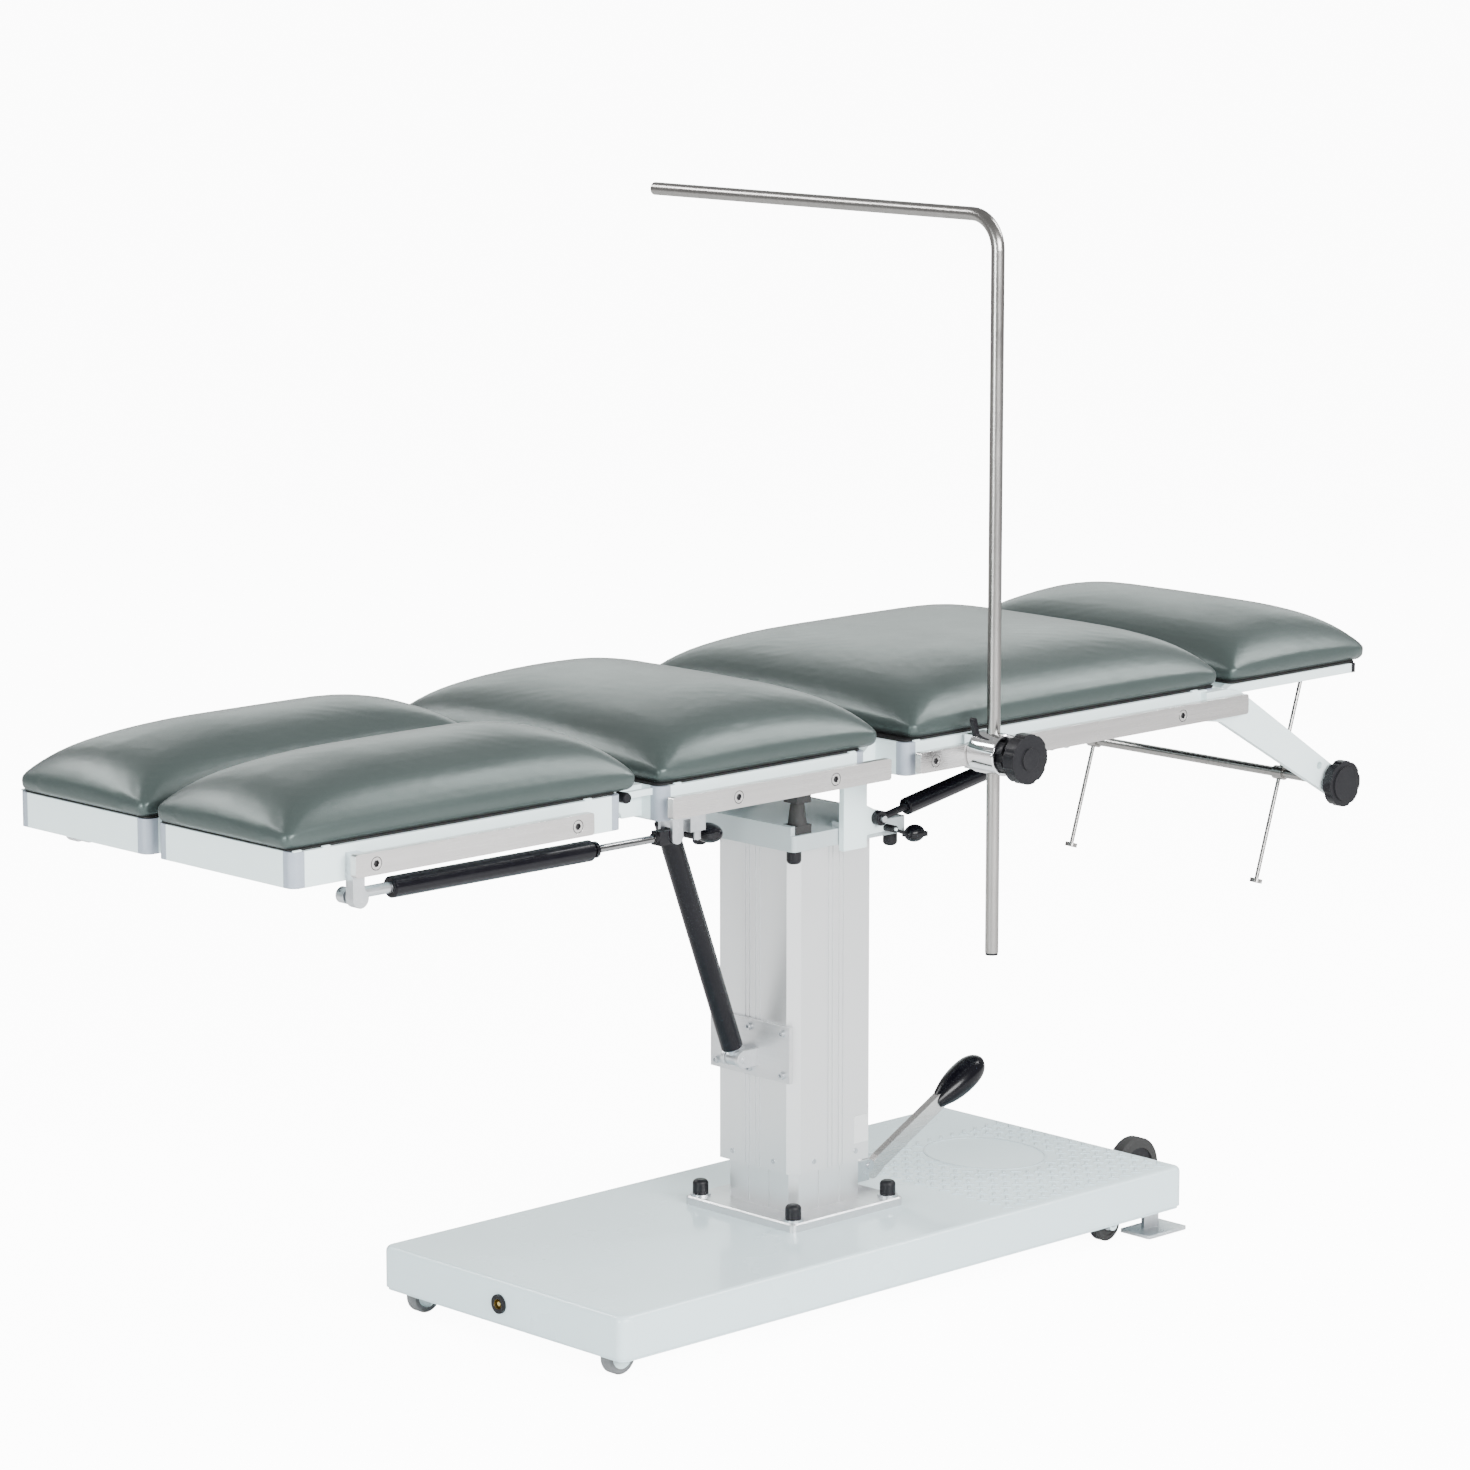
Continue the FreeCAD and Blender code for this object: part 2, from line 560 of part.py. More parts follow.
# Telescopic gas springs
class Spring:
    """A straight spring between two pivots in a plane across the table."""

    def __init__(self, foot, head, y):
        self.foot = foot
        self.head = head
        self.y = y
        self.length = math.hypot(head[0] - foot[0], head[1] - foot[1])
        self.angle = math.degrees(math.atan2(head[1] - foot[1], head[0] - foot[0]))

    def place(self, shape):
        """Turn a shape drawn along +X from the origin onto the spring's line."""
        shape.rotate(VEC(0, 0, 0), ACROSS, -self.angle)
        shape.translate(VEC(self.foot[0], self.y, self.foot[1]))
        return shape

    def cylinder(self, start, end, diameter, rod, neck, eye_width):
        """Cylinder with an eye at its foot, a bore for the rod and a guide ring on a thin throat."""
        eye = tube_y(-eye_width / 2, eye_width / 2, 0, 0, EYE_DIAMETER)
        stem = tube_x(0, start + 1, 0, 0, neck)
        barrel = tube_x(start, end, 0, 0, diameter)
        edges = [edge for edge in barrel.Edges if edge.BoundBox.XLength < 0.01]
        barrel = barrel.makeChamfer(2.0, edges)
        throat = tube_x(end - 10, end + 5, 0, 0, rod + 5)
        guide = tube_x(end + 4, end + 9, 0, 0, diameter - 6)
        shape = fuse([eye, stem, barrel, throat, guide])
        shape = shape.cut(tube_x(start + 12, end + 10, 0, 0, rod + 2 * ROD_GAP))
        shape = shape.cut(tube_y(-eye_width, eye_width, 0, 0, EYE_BORE))
        return self.place(shape)

    def rod(self, start, diameter, neck, eye_width, bored):
        """Rod with a square head piece and an eye at the far pivot."""
        far = self.length
        eye = tube_y(-eye_width / 2, eye_width / 2, far, 0, EYE_DIAMETER)
        head = block(far - 26, far, -eye_width / 2, eye_width / 2, -9, 9)
        stem = tube_x(start, far - 20, 0, 0, diameter)
        nut = tube_x(far - 30, far - 25, 0, 0, neck)
        shape = fuse([eye, head, stem, nut])
        if bored:
            shape = shape.cut(tube_y(-eye_width, eye_width, far, 0, EYE_BORE))
        return self.place(shape)


def leg_spring(side):
    """Spring from the leg rail's foot end to the seat frame."""
    return Spring(LEG_SPRING_FOOT, LEG_SPRING_HEAD, side * LEG_SPRING_Y)


def back_spring():
    """Spring from the yoke to the back frame."""
    return Spring(BACK_SPRING_FOOT, BACK_SPRING_HEAD, -BACK_SPRING_Y)


def tilt_spring():
    """Spring from the sleeve to the seat's yoke."""
    return Spring(TILT_FOOT, TILT_TOP, 0)


# Frames
def ring(x0, x1, y0, y1, cross):
    """Rectangular frame of square tube with the corners cut away and cross rails at the given X ranges."""
    shape = block(x0, x1, y0, y1, FRAME_BOTTOM, FRAME_TOP)
    low = min(y0, y1) + RAIL_WIDTH
    high = max(y0, y1) - RAIL_WIDTH
    shape = shape.cut(block(x0 + RAIL_WIDTH, x1 - RAIL_WIDTH, low, high, FRAME_BOTTOM - 1, FRAME_TOP + 1))
    for a, b in cross:
        shape = shape.fuse(block(a, b, low - 1, high + 1, FRAME_BOTTOM, FRAME_TOP))
    for x, into_x in ((x0, 1), (x1, -1)):
        for y, into_y in ((min(y0, y1), 1), (max(y0, y1), -1)):
            shape = shape.cut(block(x, x + into_x * CORNER, y, y + into_y * CORNER, FRAME_BOTTOM - 1,
                                    FRAME_TOP + 1))
    return shape


def corners(x0, x1, y0, y1):
    """Four rounded corner caps of a frame."""
    shapes = []
    for x, into_x in ((x0, 1), (x1, -1)):
        for y, into_y in ((min(y0, y1), 1), (max(y0, y1), -1)):
            cap = block(x, x + into_x * CORNER, y, y + into_y * CORNER, FRAME_BOTTOM, FRAME_TOP)
            cap = cap.makeFillet(CORNER_RADIUS, upright_edges(cap, [(x, y)]))
            shapes.append(cap)
    return Part.makeCompound(shapes)


def side_rail(x0, x1, screws):
    """Flat accessory rail on the near side with its spacers and screws."""
    bar = block(x0, x1, -RAIL_OUTER, -RAIL_INNER, RAIL_BOTTOM, RAIL_TOP)
    ends = [edge for edge in bar.Edges if edge.BoundBox.YLength > 9 and edge.BoundBox.XLength < 0.01]
    bar = bar.makeFillet(4.0, ends)
    for x in screws:
        spacer = tube_y(-RAIL_INNER - 1, -HALF_WIDTH, x, RAIL_CENTRE, SCREW_DIAMETER)
        ring_cut = tube_y(-RAIL_OUTER - 1, -RAIL_OUTER + 0.8, x, RAIL_CENTRE, SCREW_DIAMETER)
        ring_cut = ring_cut.cut(tube_y(-RAIL_OUTER - 1, -RAIL_OUTER + 2, x, RAIL_CENTRE, SCREW_DIAMETER - 2))
        socket = Part.makePolygon([VEC(x + 4.6 * math.cos(math.radians(60 * k)), -RAIL_OUTER - 1,
                                       RAIL_CENTRE + 4.6 * math.sin(math.radians(60 * k))) for k in range(7)])
        socket = Part.Face(socket).extrude(VEC(0, 5, 0))
        bar = bar.fuse(spacer).cut(ring_cut).cut(socket)
    return bar


def cushion(ends, sides, board_ends):
    """Firm closed cushion block on its board, with rounded ends and sloping long sides."""
    x0, x1 = ends
    low, high = sides
    base = CUSHION_BOTTOM
    span = CUSHION_CROWN
    steps = 5
    outline = []
    for k in range(steps + 1):
        angle = math.pi / 2 * k / steps
        outline.append((x0 + CUSHION_END * (1 - math.cos(angle)), base + span * math.sin(angle)))
    for k in range(steps, -1, -1):
        angle = math.pi / 2 * k / steps
        outline.append((x1 - CUSHION_END * (1 - math.cos(angle)), base + span * math.sin(angle)))
    body = plate_xz(outline, low, high)
    inset = 40.0
    section = [VEC(x0 - 1, low, base - 1), VEC(x0 - 1, high, base - 1), VEC(x0 - 1, high, base + CUSHION_SIDE)]
    section += [VEC(x0 - 1, high - inset, base + span + 0.01), VEC(x0 - 1, low + inset, base + span + 0.01)]
    section += [VEC(x0 - 1, low, base + CUSHION_SIDE)]
    prism = Part.Face(Part.makePolygon(section + section[:1])).extrude(VEC(x1 - x0 + 2, 0, 0))
    board = block(board_ends[0], board_ends[1], low + BOARD_INSET, high - BOARD_INSET, FRAME_TOP, base)
    return body.common(prism).fuse(board)


# Sections
def leg_ys(side):
    """Inner and outer Y of one leg section."""
    return side * LEG_GAP / 2, side * HALF_WIDTH


def leg_frame(side):
    """Frame of one leg section with its hinge pins and spring clevis."""
    inner, outer = leg_ys(side)
    shape = ring(LEG_FOOT_X, LEG_SEAT_X, inner, outer, [(LEG_SEAT_X - 74, LEG_SEAT_X - 49)])
    x, z = LEG_AXIS
    slot = block(LEG_SEAT_X - RAIL_WIDTH - 1, LEG_SEAT_X + 1, inner + side * RAIL_WIDTH,
                 outer - side * RAIL_WIDTH, FRAME_BOTTOM - 1, FRAME_TOP + 1)
    shape = shape.cut(slot)
    for y, into in ((outer, -1), (inner, 1)):
        face = y + into * side * RAIL_WIDTH
        cheek = face - into * side * 11
        ear = block(LEG_SEAT_X - 2, x, cheek, face, z - 16, z + 6)
        ear = ear.fuse(tube_y(cheek, face, x, z, 14.0))
        pin = tube_y(face - into * side * 6, face + into * side * 18, x, z, PIN)
        shape = shape.fuse([ear, pin])
    ex, ez = LEG_SPRING_FOOT
    strap = block(ex - 12, ex + 6, outer, side * RAIL_INNER, ez, RAIL_TOP)
    strap = strap.fuse(tube_y(outer, side * RAIL_INNER, ex, ez, 24.0))
    bolt = tube_y(side * (LEG_SPRING_Y - 10), side * (RAIL_INNER - 1), ex, ez, EYE_PIN)
    washer = tube_y(side * (LEG_SPRING_Y + 9), outer, ex, ez, 16.0)
    return shape.fuse([strap, bolt, washer])


def seat_frame():
    """Seat frame with hinge plates for the legs and lugs for the back."""
    shape = ring(SEAT_FOOT_X, SEAT_BACK_X, -HALF_WIDTH, HALF_WIDTH, [(x, x + RAIL_WIDTH) for x in SEAT_CROSS])
    shape = shape.cut(block(SEAT_CROSS[1] + RAIL_WIDTH, SEAT_BACK_X + 1, -RAIL_FACE, RAIL_FACE,
                            FRAME_BOTTOM - 1, FRAME_TOP + 1))
    x, z = LEG_AXIS
    extra = []
    for side in (-1, 1):
        for y in (side * (HALF_WIDTH - LUG_INSET), side * (LEG_GAP / 2 + LUG_INSET)):
            extra.append(leg_hinge_plate(x, z, y))
        extra.append(back_hinge_lug(side))
    return shape.fuse(extra)


def spring_brackets():
    """Brackets under the seat frame for the leg springs' heads and their release paddles."""
    shapes = []
    hx, hz = LEG_SPRING_HEAD
    for side in (-1, 1):
        y = side * LEG_SPRING_Y
        half = EYE_WIDTH / 2 + 5.5
        parts = [block(hx - 9, LEG_PADDLE[0] + 12, y - half, y + half, FRAME_BOTTOM - 3, FRAME_BOTTOM)]
        for place in (-1, 1):
            y0 = y + place * (EYE_WIDTH / 2 + 1)
            y1 = y + place * half
            parts.append(block(hx - 9, hx + 9, y0, y1, hz, FRAME_BOTTOM))
            parts.append(tube_y(y0, y1, hx, hz, 18.0))
        parts.append(block(hx + 22, LEG_PADDLE[0] + 12, y - half, y + half, LEG_PADDLE[1] + 7, FRAME_BOTTOM))
        parts += paddle_ears(LEG_PADDLE[0], y, LEG_PADDLE[1], LEG_PADDLE[1] + 8, -5, 5)
        shapes.append(fuse(parts))
    return Part.makeCompound(shapes)


def leg_hinge_plate(x, z, y):
    """Hinge plate from the seat's foot rail to the leg hinge, with a round bush and a curved underside."""
    low = y - LUG_THICK / 2
    high = y + LUG_THICK / 2
    plate = block(x, SEAT_FOOT_X + RAIL_WIDTH / 2, low, high, FRAME_BOTTOM + 4, z + 7)
    scoop = tube_y(low - 1, high + 1, x + 4, FRAME_BOTTOM - 2, 48.0)
    hub = tube_y(low - 1.5, high + 1.5, x, z, HUB_DIAMETER)
    bore = tube_y(low - 3, high + 3, x, z, PIN + 2 * PIN_GAP)
    return plate.cut(scoop).fuse(hub).cut(bore)


def back_hinge_lug(side):
    """Lug with the pin of the back hinge at the seat's head end."""
    x, z = BACK_AXIS
    y0 = side * (RAIL_FACE - 18)
    y1 = side * RAIL_FACE
    lug = block(SEAT_BACK_X - 30, x, y0, y1, FRAME_BOTTOM + 6, z + 8)
    lug = lug.fuse(tube_y(y0, side * (RAIL_FACE - 8), x, z, HUB_DIAMETER))
    pin = tube_y(side * (RAIL_FACE - 40), side * (RAIL_FACE - 10), x, z, PIN)
    return lug.fuse(pin)


def tilt_yoke():
    """Yoke that carries the seat on the column's tilt pivots."""
    shapes = []
    x, z = TILT_AXIS
    foot = z - UPRIGHT_HALF
    near = BEAM_OUTER - UPRIGHT_THICK
    for side in (-1, 1):
        beam = block(BEAM_FOOT_X, BEAM_HEAD_X, side * BEAM_INNER, side * BEAM_OUTER, BEAM_BOTTOM, BEAM_TOP)
        upright = block(x - UPRIGHT_HALF, x + UPRIGHT_HALF, side * near, side * BEAM_OUTER, foot,
                        BEAM_BOTTOM + 2)
        bore = tube_y(side * (near - 1), side * (BEAM_OUTER - 2), x, z, STUB_DIAMETER + 2 * STUB_GAP)
        upright = upright.cut(bore)
        pads = [block(a, a + RAIL_WIDTH, side * BEAM_INNER, side * BEAM_OUTER, BEAM_TOP - 1, FRAME_BOTTOM)
                for a in SEAT_CROSS]
        shapes += [beam, upright] + pads
    px, pz = TILT_TOP
    shapes.append(block(px - 48, px - 24, -BEAM_INNER - 1, BEAM_INNER + 1, BEAM_BOTTOM, BEAM_TOP))
    shapes.append(block(x - 58, x - 34, -BEAM_INNER - 1, BEAM_INNER + 1, BEAM_BOTTOM + 4, BEAM_TOP))
    for side in (-1, 1):
        y0 = side * (TILT_EYE / 2)
        y1 = side * (TILT_EYE / 2 + EAR_THICK)
        ear = block(px - 28, px, y0, y1, pz - 11, pz + 11)
        shapes.append(ear.fuse(tube_y(y0, y1, px, pz, 22.0)))
    shapes.append(tube_y(-TILT_EYE / 2 - EAR_THICK - 1, TILT_EYE / 2 + EAR_THICK + 1, px, pz, TILT_PIN))
    lx, lz = BACK_SPRING_FOOT
    root = BEAM_HEAD_X - 2
    outline = [(root, foot + 14), (lx, lz - 10), (lx + 10, lz), (lx, lz + 10), (root, lz + 20)]
    lug = plate_xz(outline, -BEAM_OUTER, -near)
    lug = lug.fuse(tube_y(-BEAM_OUTER, -near, lx, lz, EYE_DIAMETER))
    lug_pin = tube_y(-BACK_SPRING_Y - 11, -near - 1, lx, lz, EYE_PIN)
    bx, bz = BACK_PADDLE
    outline = [(root, foot + 14), (lx + 2, lz - 12), (bx + 3, bz + 5), (bx, bz - 5), (root, bz - 6)]
    hanger = plate_xz(outline, -BACK_SPRING_Y + PADDLE_HALF + 0.5, -near)
    boss = tube_y(-BACK_SPRING_Y + PADDLE_HALF + 0.5, -near, bx, bz, PADDLE_BOSS)
    thin_pin = tube_y(-BACK_SPRING_Y - 11, -near - 1, bx, bz, PADDLE_PIN)
    return fuse(shapes).fuse([lug, lug_pin, hanger, boss, thin_pin])


def back_frame():
    """Back frame with hinge arms, spring bracket and head hinge plates."""
    bracket_x = BACK_SPRING_HEAD[0]
    shape = ring(BACK_SEAT_X, BACK_HEAD_X, -HALF_WIDTH, HALF_WIDTH, [(bracket_x - 20, bracket_x + 20)])
    extra = []
    x, z = BACK_AXIS
    hx, hz = HEAD_AXIS
    for side in (-1, 1):
        y0 = side * (RAIL_FACE - 36)
        y1 = side * (RAIL_FACE - 26)
        end = BACK_SEAT_X + 2
        outline = [(x + 5, z - 8), (x + 14, z - 16), (x + 27, z - 22), (x + 34, z - 19), (end - 12, z + 2)]
        outline += [(end, z + 8), (end, z - 24), (end - 24, z - 33), (x + 18, z - 33), (x - 6, z - 8)]
        arm = plate_xz(outline, y0, y1).fuse(tube_y(y0, y1, x, z, HUB_DIAMETER))
        arm = arm.cut(tube_y(side * (RAIL_FACE - 40), side * (RAIL_FACE - 20), x, z, PIN + 2 * PIN_GAP))
        extra.append(arm)
        y0 = side * (HEAD_BAR_Y - HEAD_BAR / 2 - 12)
        y1 = side * (HEAD_BAR_Y - HEAD_BAR / 2 - 4)
        plate = block(BACK_HEAD_X - 2, hx, y0, y1, hz - 22, hz + 8)
        plate = plate.fuse(tube_y(y0, y1, hx, hz, 2 * HEAD_PIN))
        plate = plate.cut(tube_y(y0 - side * 4, y1 + side * 3, hx, hz, HEAD_PIN + 2 * PIN_GAP))
        extra.append(plate)
    bx, bz = BACK_SPRING_HEAD
    for place in (-1, 1):
        y = -BACK_SPRING_Y + place * (EYE_WIDTH / 2 + 4)
        points = [(bx - 20, FRAME_BOTTOM + 1), (bx + 20, FRAME_BOTTOM + 1), (bx + 12, bz), (bx - 12, bz)]
        ear = plate_xz(points, y - 2.5, y + 2.5).fuse(tube_y(y - 2.5, y + 2.5, bx, bz, 24.0))
        extra.append(ear)
    return shape.fuse(extra)


def head_arms():
    """Two flat painted arms that carry the head support's spindle."""
    sx, sz = SPINDLE
    y0 = -ARM_INNER
    y1 = -ARM_INNER - ARM_THICK
    half = ARM_WIDTH / 2
    root = BACK_HEAD_X - 30
    top = (BACK_HEAD_X + 14, FRAME_TOP - 26)
    end = (sx + 14, sz - 8)
    angle = math.atan2(end[1] - top[1], end[0] - top[0])
    nx = -math.sin(angle) * half
    nz = math.cos(angle) * half
    outline = [(root, FRAME_TOP - 2), (BACK_HEAD_X + 10, FRAME_TOP - 2)]
    outline += [(top[0] + nx * 0.9 + 16, top[1] + nz * 0.9)]
    outline += [(end[0] + nx * 0.75, end[1] + nz * 0.75), (end[0] + 8, end[1] + 4), (end[0] + 4, end[1] - 8)]
    outline += [(end[0] - nx * 0.75 - 4, end[1] - nz * 0.75), (top[0] - nx, top[1] - nz)]
    outline += [(root, FRAME_BOTTOM + 2)]
    arm = plate_xz(outline, y0, y1)
    arm = arm.cut(tube_y(y0 + 1, y1 - 1, sx, sz, SPINDLE_DIAMETER + 2 * SPINDLE_GAP))
    arm = arm.cut(tube_y(y0 + 1, y1 - 1, sx - 33, sz + 28, 11.0))
    return both(arm)


def head_frame():
    """Thin head frame with black end plugs and hinge eyes."""
    z0 = FRAME_TOP - HEAD_BAR - 1
    hx, hz = HEAD_AXIS
    shapes = []
    for side in (-1, 1):
        inner = side * (HEAD_BAR_Y - HEAD_BAR / 2)
        outer = side * (HEAD_BAR_Y + HEAD_BAR / 2)
        bar = block(hx + 2, HEAD_END_X, inner, outer, z0, FRAME_TOP)
        slope = [(hx - 1, hz + 1), (hx + 22, FRAME_TOP + 1), (hx - 1, FRAME_TOP + 1)]
        bar = bar.cut(plate_xz(slope, inner, outer))
        bar = bar.fuse(tube_y(inner, outer, hx, hz, 2 * HEAD_PIN))
        pin = tube_y(inner - side * 14, inner + side * 4, hx, hz, HEAD_PIN)
        plug = block(HEAD_END_X, HEAD_END_X + 8, inner, outer, z0, FRAME_TOP)
        plug = plug.makeFillet(2.0, [e for e in plug.Edges if e.BoundBox.XMin > HEAD_END_X + 7])
        shapes += [bar, pin, plug]
    for x in (hx + 30, HEAD_END_X - 20):
        reach = HEAD_BAR_Y - HEAD_BAR / 2 + 1
        shapes.append(block(x, x + 20, -reach, reach, z0, FRAME_TOP))
    px, pz = ROD_TOP
    for side in (-1, 1):
        for place in (-1, 1):
            y = side * ROD_Y + place * 6.0
            ear = block(px - 7, px + 7, y - 1.5, y + 1.5, pz, z0 + 1)
            ear = ear.fuse(tube_y(y - 1.5, y + 1.5, px, pz, 14.0))
            shapes.append(ear)
        shapes.append(tube_y(side * ROD_Y - 8, side * ROD_Y + 8, px, pz, 4.0))
    return fuse(shapes)


def head_rods():
    """Two thin rods that hang from the head frame and slide through the spindle."""
    shapes = []
    px, pz = ROD_TOP
    fx = px + ROD_SPAN[0]
    fz = pz + ROD_SPAN[1]
    length = math.hypot(fx - px, fz - pz)
    line = VEC((fx - px) / length, 0, (fz - pz) / length)
    for side in (-1, 1):
        y = side * ROD_Y
        rod = Part.makeCylinder(ROD_DIAMETER / 2, length - 5, VEC(px + line.x * 5, y, pz + line.z * 5), line)
        eye = tube_y(y - 3.5, y + 3.5, px, pz, 9.0)
        disc = Part.makeCylinder(9.0, 6.0, VEC(fx, y, fz), line)
        shapes.append(fuse([rod, eye, disc]).cut(tube_y(y - 9, y + 9, px, pz, 5.0)))
    return Part.makeCompound(shapes)


def head_spindle():
    """Cross spindle with holes for the two rods."""
    x, z = SPINDLE
    shape = tube_y(-ARM_INNER - ARM_THICK - 14, ARM_INNER + ARM_THICK + 5, x, z, SPINDLE_DIAMETER)
    line = VEC(ROD_SPAN[0], 0, ROD_SPAN[1])
    line.normalize()
    for side in (-1, 1):
        start = VEC(x, side * ROD_Y, z) - line * 12
        shape = shape.fuse(tube_y(side * ROD_Y - 9, side * ROD_Y + 9, x, z, SPINDLE_DIAMETER + 6))
        shape = shape.cut(Part.makeCylinder(ROD_DIAMETER / 2 + ROD_PLAY, 24, start, line))
        ring_y = side * (ARM_INNER - 4)
        shape = shape.fuse(tube_y(ring_y - 2.5, ring_y + 2.5, x, z, SPINDLE_DIAMETER + 6))
    return shape


def lobed_disc(radius, lobes, depth, thick):
    """Disc with scalloped rim, lying in the X-Z plane about the origin."""
    disc = Part.makeCylinder(radius, thick, VEC(0, 0, 0), ACROSS)
    for k in range(lobes):
        angle = 2 * math.pi * (k + 0.5) / lobes
        reach = radius + 7.0 - depth
        bite = Part.makeCylinder(7.0, thick + 2, VEC(reach * math.cos(angle), -1, reach * math.sin(angle)), ACROSS)
        disc = disc.cut(bite)
    return disc


def spindle_knob():
    """Clamping knob on the spindle's near end."""
    y = -ARM_INNER - ARM_THICK - 7
    knob = lobed_disc(KNOB_DIAMETER / 2, 8, 1.6, KNOB_THICK)
    knob.translate(VEC(SPINDLE[0], y - KNOB_THICK, SPINDLE[1]))
    hub = tube_y(y - 1, y + 5, SPINDLE[0], SPINDLE[1], 26.0)
    face = tube_y(y - KNOB_THICK - 2, y - 1, SPINDLE[0], SPINDLE[1], KNOB_DIAMETER - 16)
    knob = fuse([knob, hub, face])
    return knob.cut(tube_y(y - 8, y + 6, SPINDLE[0], SPINDLE[1], SPINDLE_DIAMETER + 2 * SPINDLE_GAP))


# Screen bar and its clamp
def screen_bar():
    """Bent round bar that reaches across the table, with a plug in its lower end."""
    radius = BAR_DIAMETER / 2
    top = BAR_TOP_Z - BAR_BEND
    upright = Part.makeLine(VEC(BAR_X, BAR_Y, BAR_FOOT_Z), VEC(BAR_X, BAR_Y, top))
    middle = VEC(BAR_X, BAR_Y + BAR_BEND * (1 - math.cos(math.pi / 4)), top + BAR_BEND * math.sin(math.pi / 4))
    bend = Part.Arc(VEC(BAR_X, BAR_Y, top), middle, VEC(BAR_X, BAR_Y + BAR_BEND, BAR_TOP_Z)).toShape()
    across = Part.makeLine(VEC(BAR_X, BAR_Y + BAR_BEND, BAR_TOP_Z), VEC(BAR_X, BAR_END_Y, BAR_TOP_Z))
    path = Part.Wire([upright, bend, across])
    ring_wire = Part.Wire(Part.makeCircle(radius, VEC(BAR_X, BAR_Y, BAR_FOOT_Z), UP))
    bar = path.makePipeShell([ring_wire], True, True)
    plug = tube_z(BAR_FOOT_Z - 3, BAR_FOOT_Z, BAR_X, BAR_Y, BAR_DIAMETER - 1)
    return bar.fuse(plug)


def rail_clamp():
    """Round clamp that grips the back rail and lets the screen bar through, with a recess for its knob."""
    y_face = -RAIL_OUTER - GAP
    back = -RAIL_INNER + GAP
    bottom = RAIL_BOTTOM - GAP
    top = RAIL_TOP + GAP
    x0 = BAR_X - JAW_HALF
    x1 = BAR_X + JAW_HALF
    near = BAR_Y - CLAMP_REACH
    body = tube_y(near, y_face, BAR_X, CLAMP_Z, CLAMP_DIAMETER)
    edges = [edge for edge in body.Edges if edge.BoundBox.YLength < 0.01]
    body = body.makeChamfer(1.5, edges)
    body = body.cut(tube_y(near - 1, near + RECESS_DEPTH, BAR_X, CLAMP_Z, RECESS_DIAMETER))
    upper = block(x0, x1, y_face - 3, back + 4, top, CLAMP_Z + JAW_RISE)
    lower = block(x0, x1, y_face - 3, back + 4, CLAMP_Z - JAW_RISE, bottom)
    lips = [block(x0, x1, back, back + 4, top - 4, top + 1), block(x0, x1, back, back + 4, bottom - 1, bottom + 4)]
    foot = (BAR_X - 14, CLAMP_Z + CLAMP_DIAMETER / 2 - 6)
    lever = strap_xz(foot, (foot[0] - 6, foot[1] + 22), 7.0, y_face - 9, y_face - 2)
    shape = fuse([body, upper, lower] + lips + [lever])
    return shape.cut(tube_z(CLAMP_Z - 40, CLAMP_Z + 40, BAR_X, BAR_Y, BAR_DIAMETER + 2 * BAR_GAP))


def clamp_knob():
    """Round hand knob on a shaft with a five-lobed star that turns in the clamp's recess."""
    floor = BAR_Y - CLAMP_REACH + RECESS_DEPTH - GAP
    star = lobed_disc(STAR_DIAMETER / 2, 5, 4.0, STAR_THICK)
    star.translate(VEC(BAR_X, floor - STAR_THICK, CLAMP_Z))
    back = BAR_Y - KNOB_STANDOFF
    shaft = tube_y(back - 2, floor - 2, BAR_X, CLAMP_Z, KNOB_SHAFT)
    disc = lobed_disc(CLAMP_KNOB_DIAMETER / 2, 8, 1.6, CLAMP_KNOB_THICK)
    disc.translate(VEC(BAR_X, back - CLAMP_KNOB_THICK, CLAMP_Z))
    button = tube_y(back - CLAMP_KNOB_THICK - 2, back - 4, BAR_X, CLAMP_Z, 30.0)
    return fuse([star, shaft, disc, button])


# Release paddles, lever and running gear
def paddle_ears(x, y, z, ceiling, inner, outer):
    """Two ears with a thin pin for a release paddle, hanging from a face at height ceiling."""
    shapes = []
    for place in (-1, 1):
        y0 = y + place * (PADDLE_HALF + 0.5)
        y1 = y + place * (PADDLE_HALF + 3)
        ear = block(x + inner, x + outer, y0, y1, z - 4, ceiling)
        shapes.append(ear.fuse(tube_y(y0, y1, x, z, PADDLE_BOSS)))
    shapes.append(tube_y(y - PADDLE_HALF - 3, y + PADDLE_HALF + 3, x, z, PADDLE_PIN))
    return shapes


def paddle(x, y, z, reach, drop, pad_x, pad_half):
    """Flat release paddle on a thin rod that starts at a small pivot boss."""
    boss = tube_y(y - PADDLE_HALF, y + PADDLE_HALF, x, z, PADDLE_BOSS)
    length = math.hypot(reach, drop)
    line = VEC(reach / length, 0, -drop / length)
    rod = Part.makeCylinder(2.5, length, VEC(x, y, z), line)
    pad = rounded_block(x + reach - 4, x + reach + pad_x, y - pad_half, y + pad_half, z - drop - 3,
                        z - drop + 3, 5.0)
    return fuse([boss, rod, pad]).cut(tube_y(y - 10, y + 10, x, z, PADDLE_BORE))


def lever_bracket():
    """Two cheeks on the column plate that hold the pump lever's pivot."""
    x, z = LEVER_PIVOT
    floor = PLATE_TOP
    shapes = []
    near = LEVER_HALF + 2
    far = near + EAR_THICK
    root = OUTER_HALF + 5
    for side in (-1, 1):
        cheek = block(root, x, side * near, side * far, floor, z + 9)
        shapes.append(cheek.fuse(tube_y(side * near, side * far, x, z, 18.0)))
    shapes.append(block(root, root + 20, -far, far, floor, floor + 6))
    shapes.append(tube_y(-far - 2, far + 2, x, z, LEVER_PIN))
    return fuse(shapes)


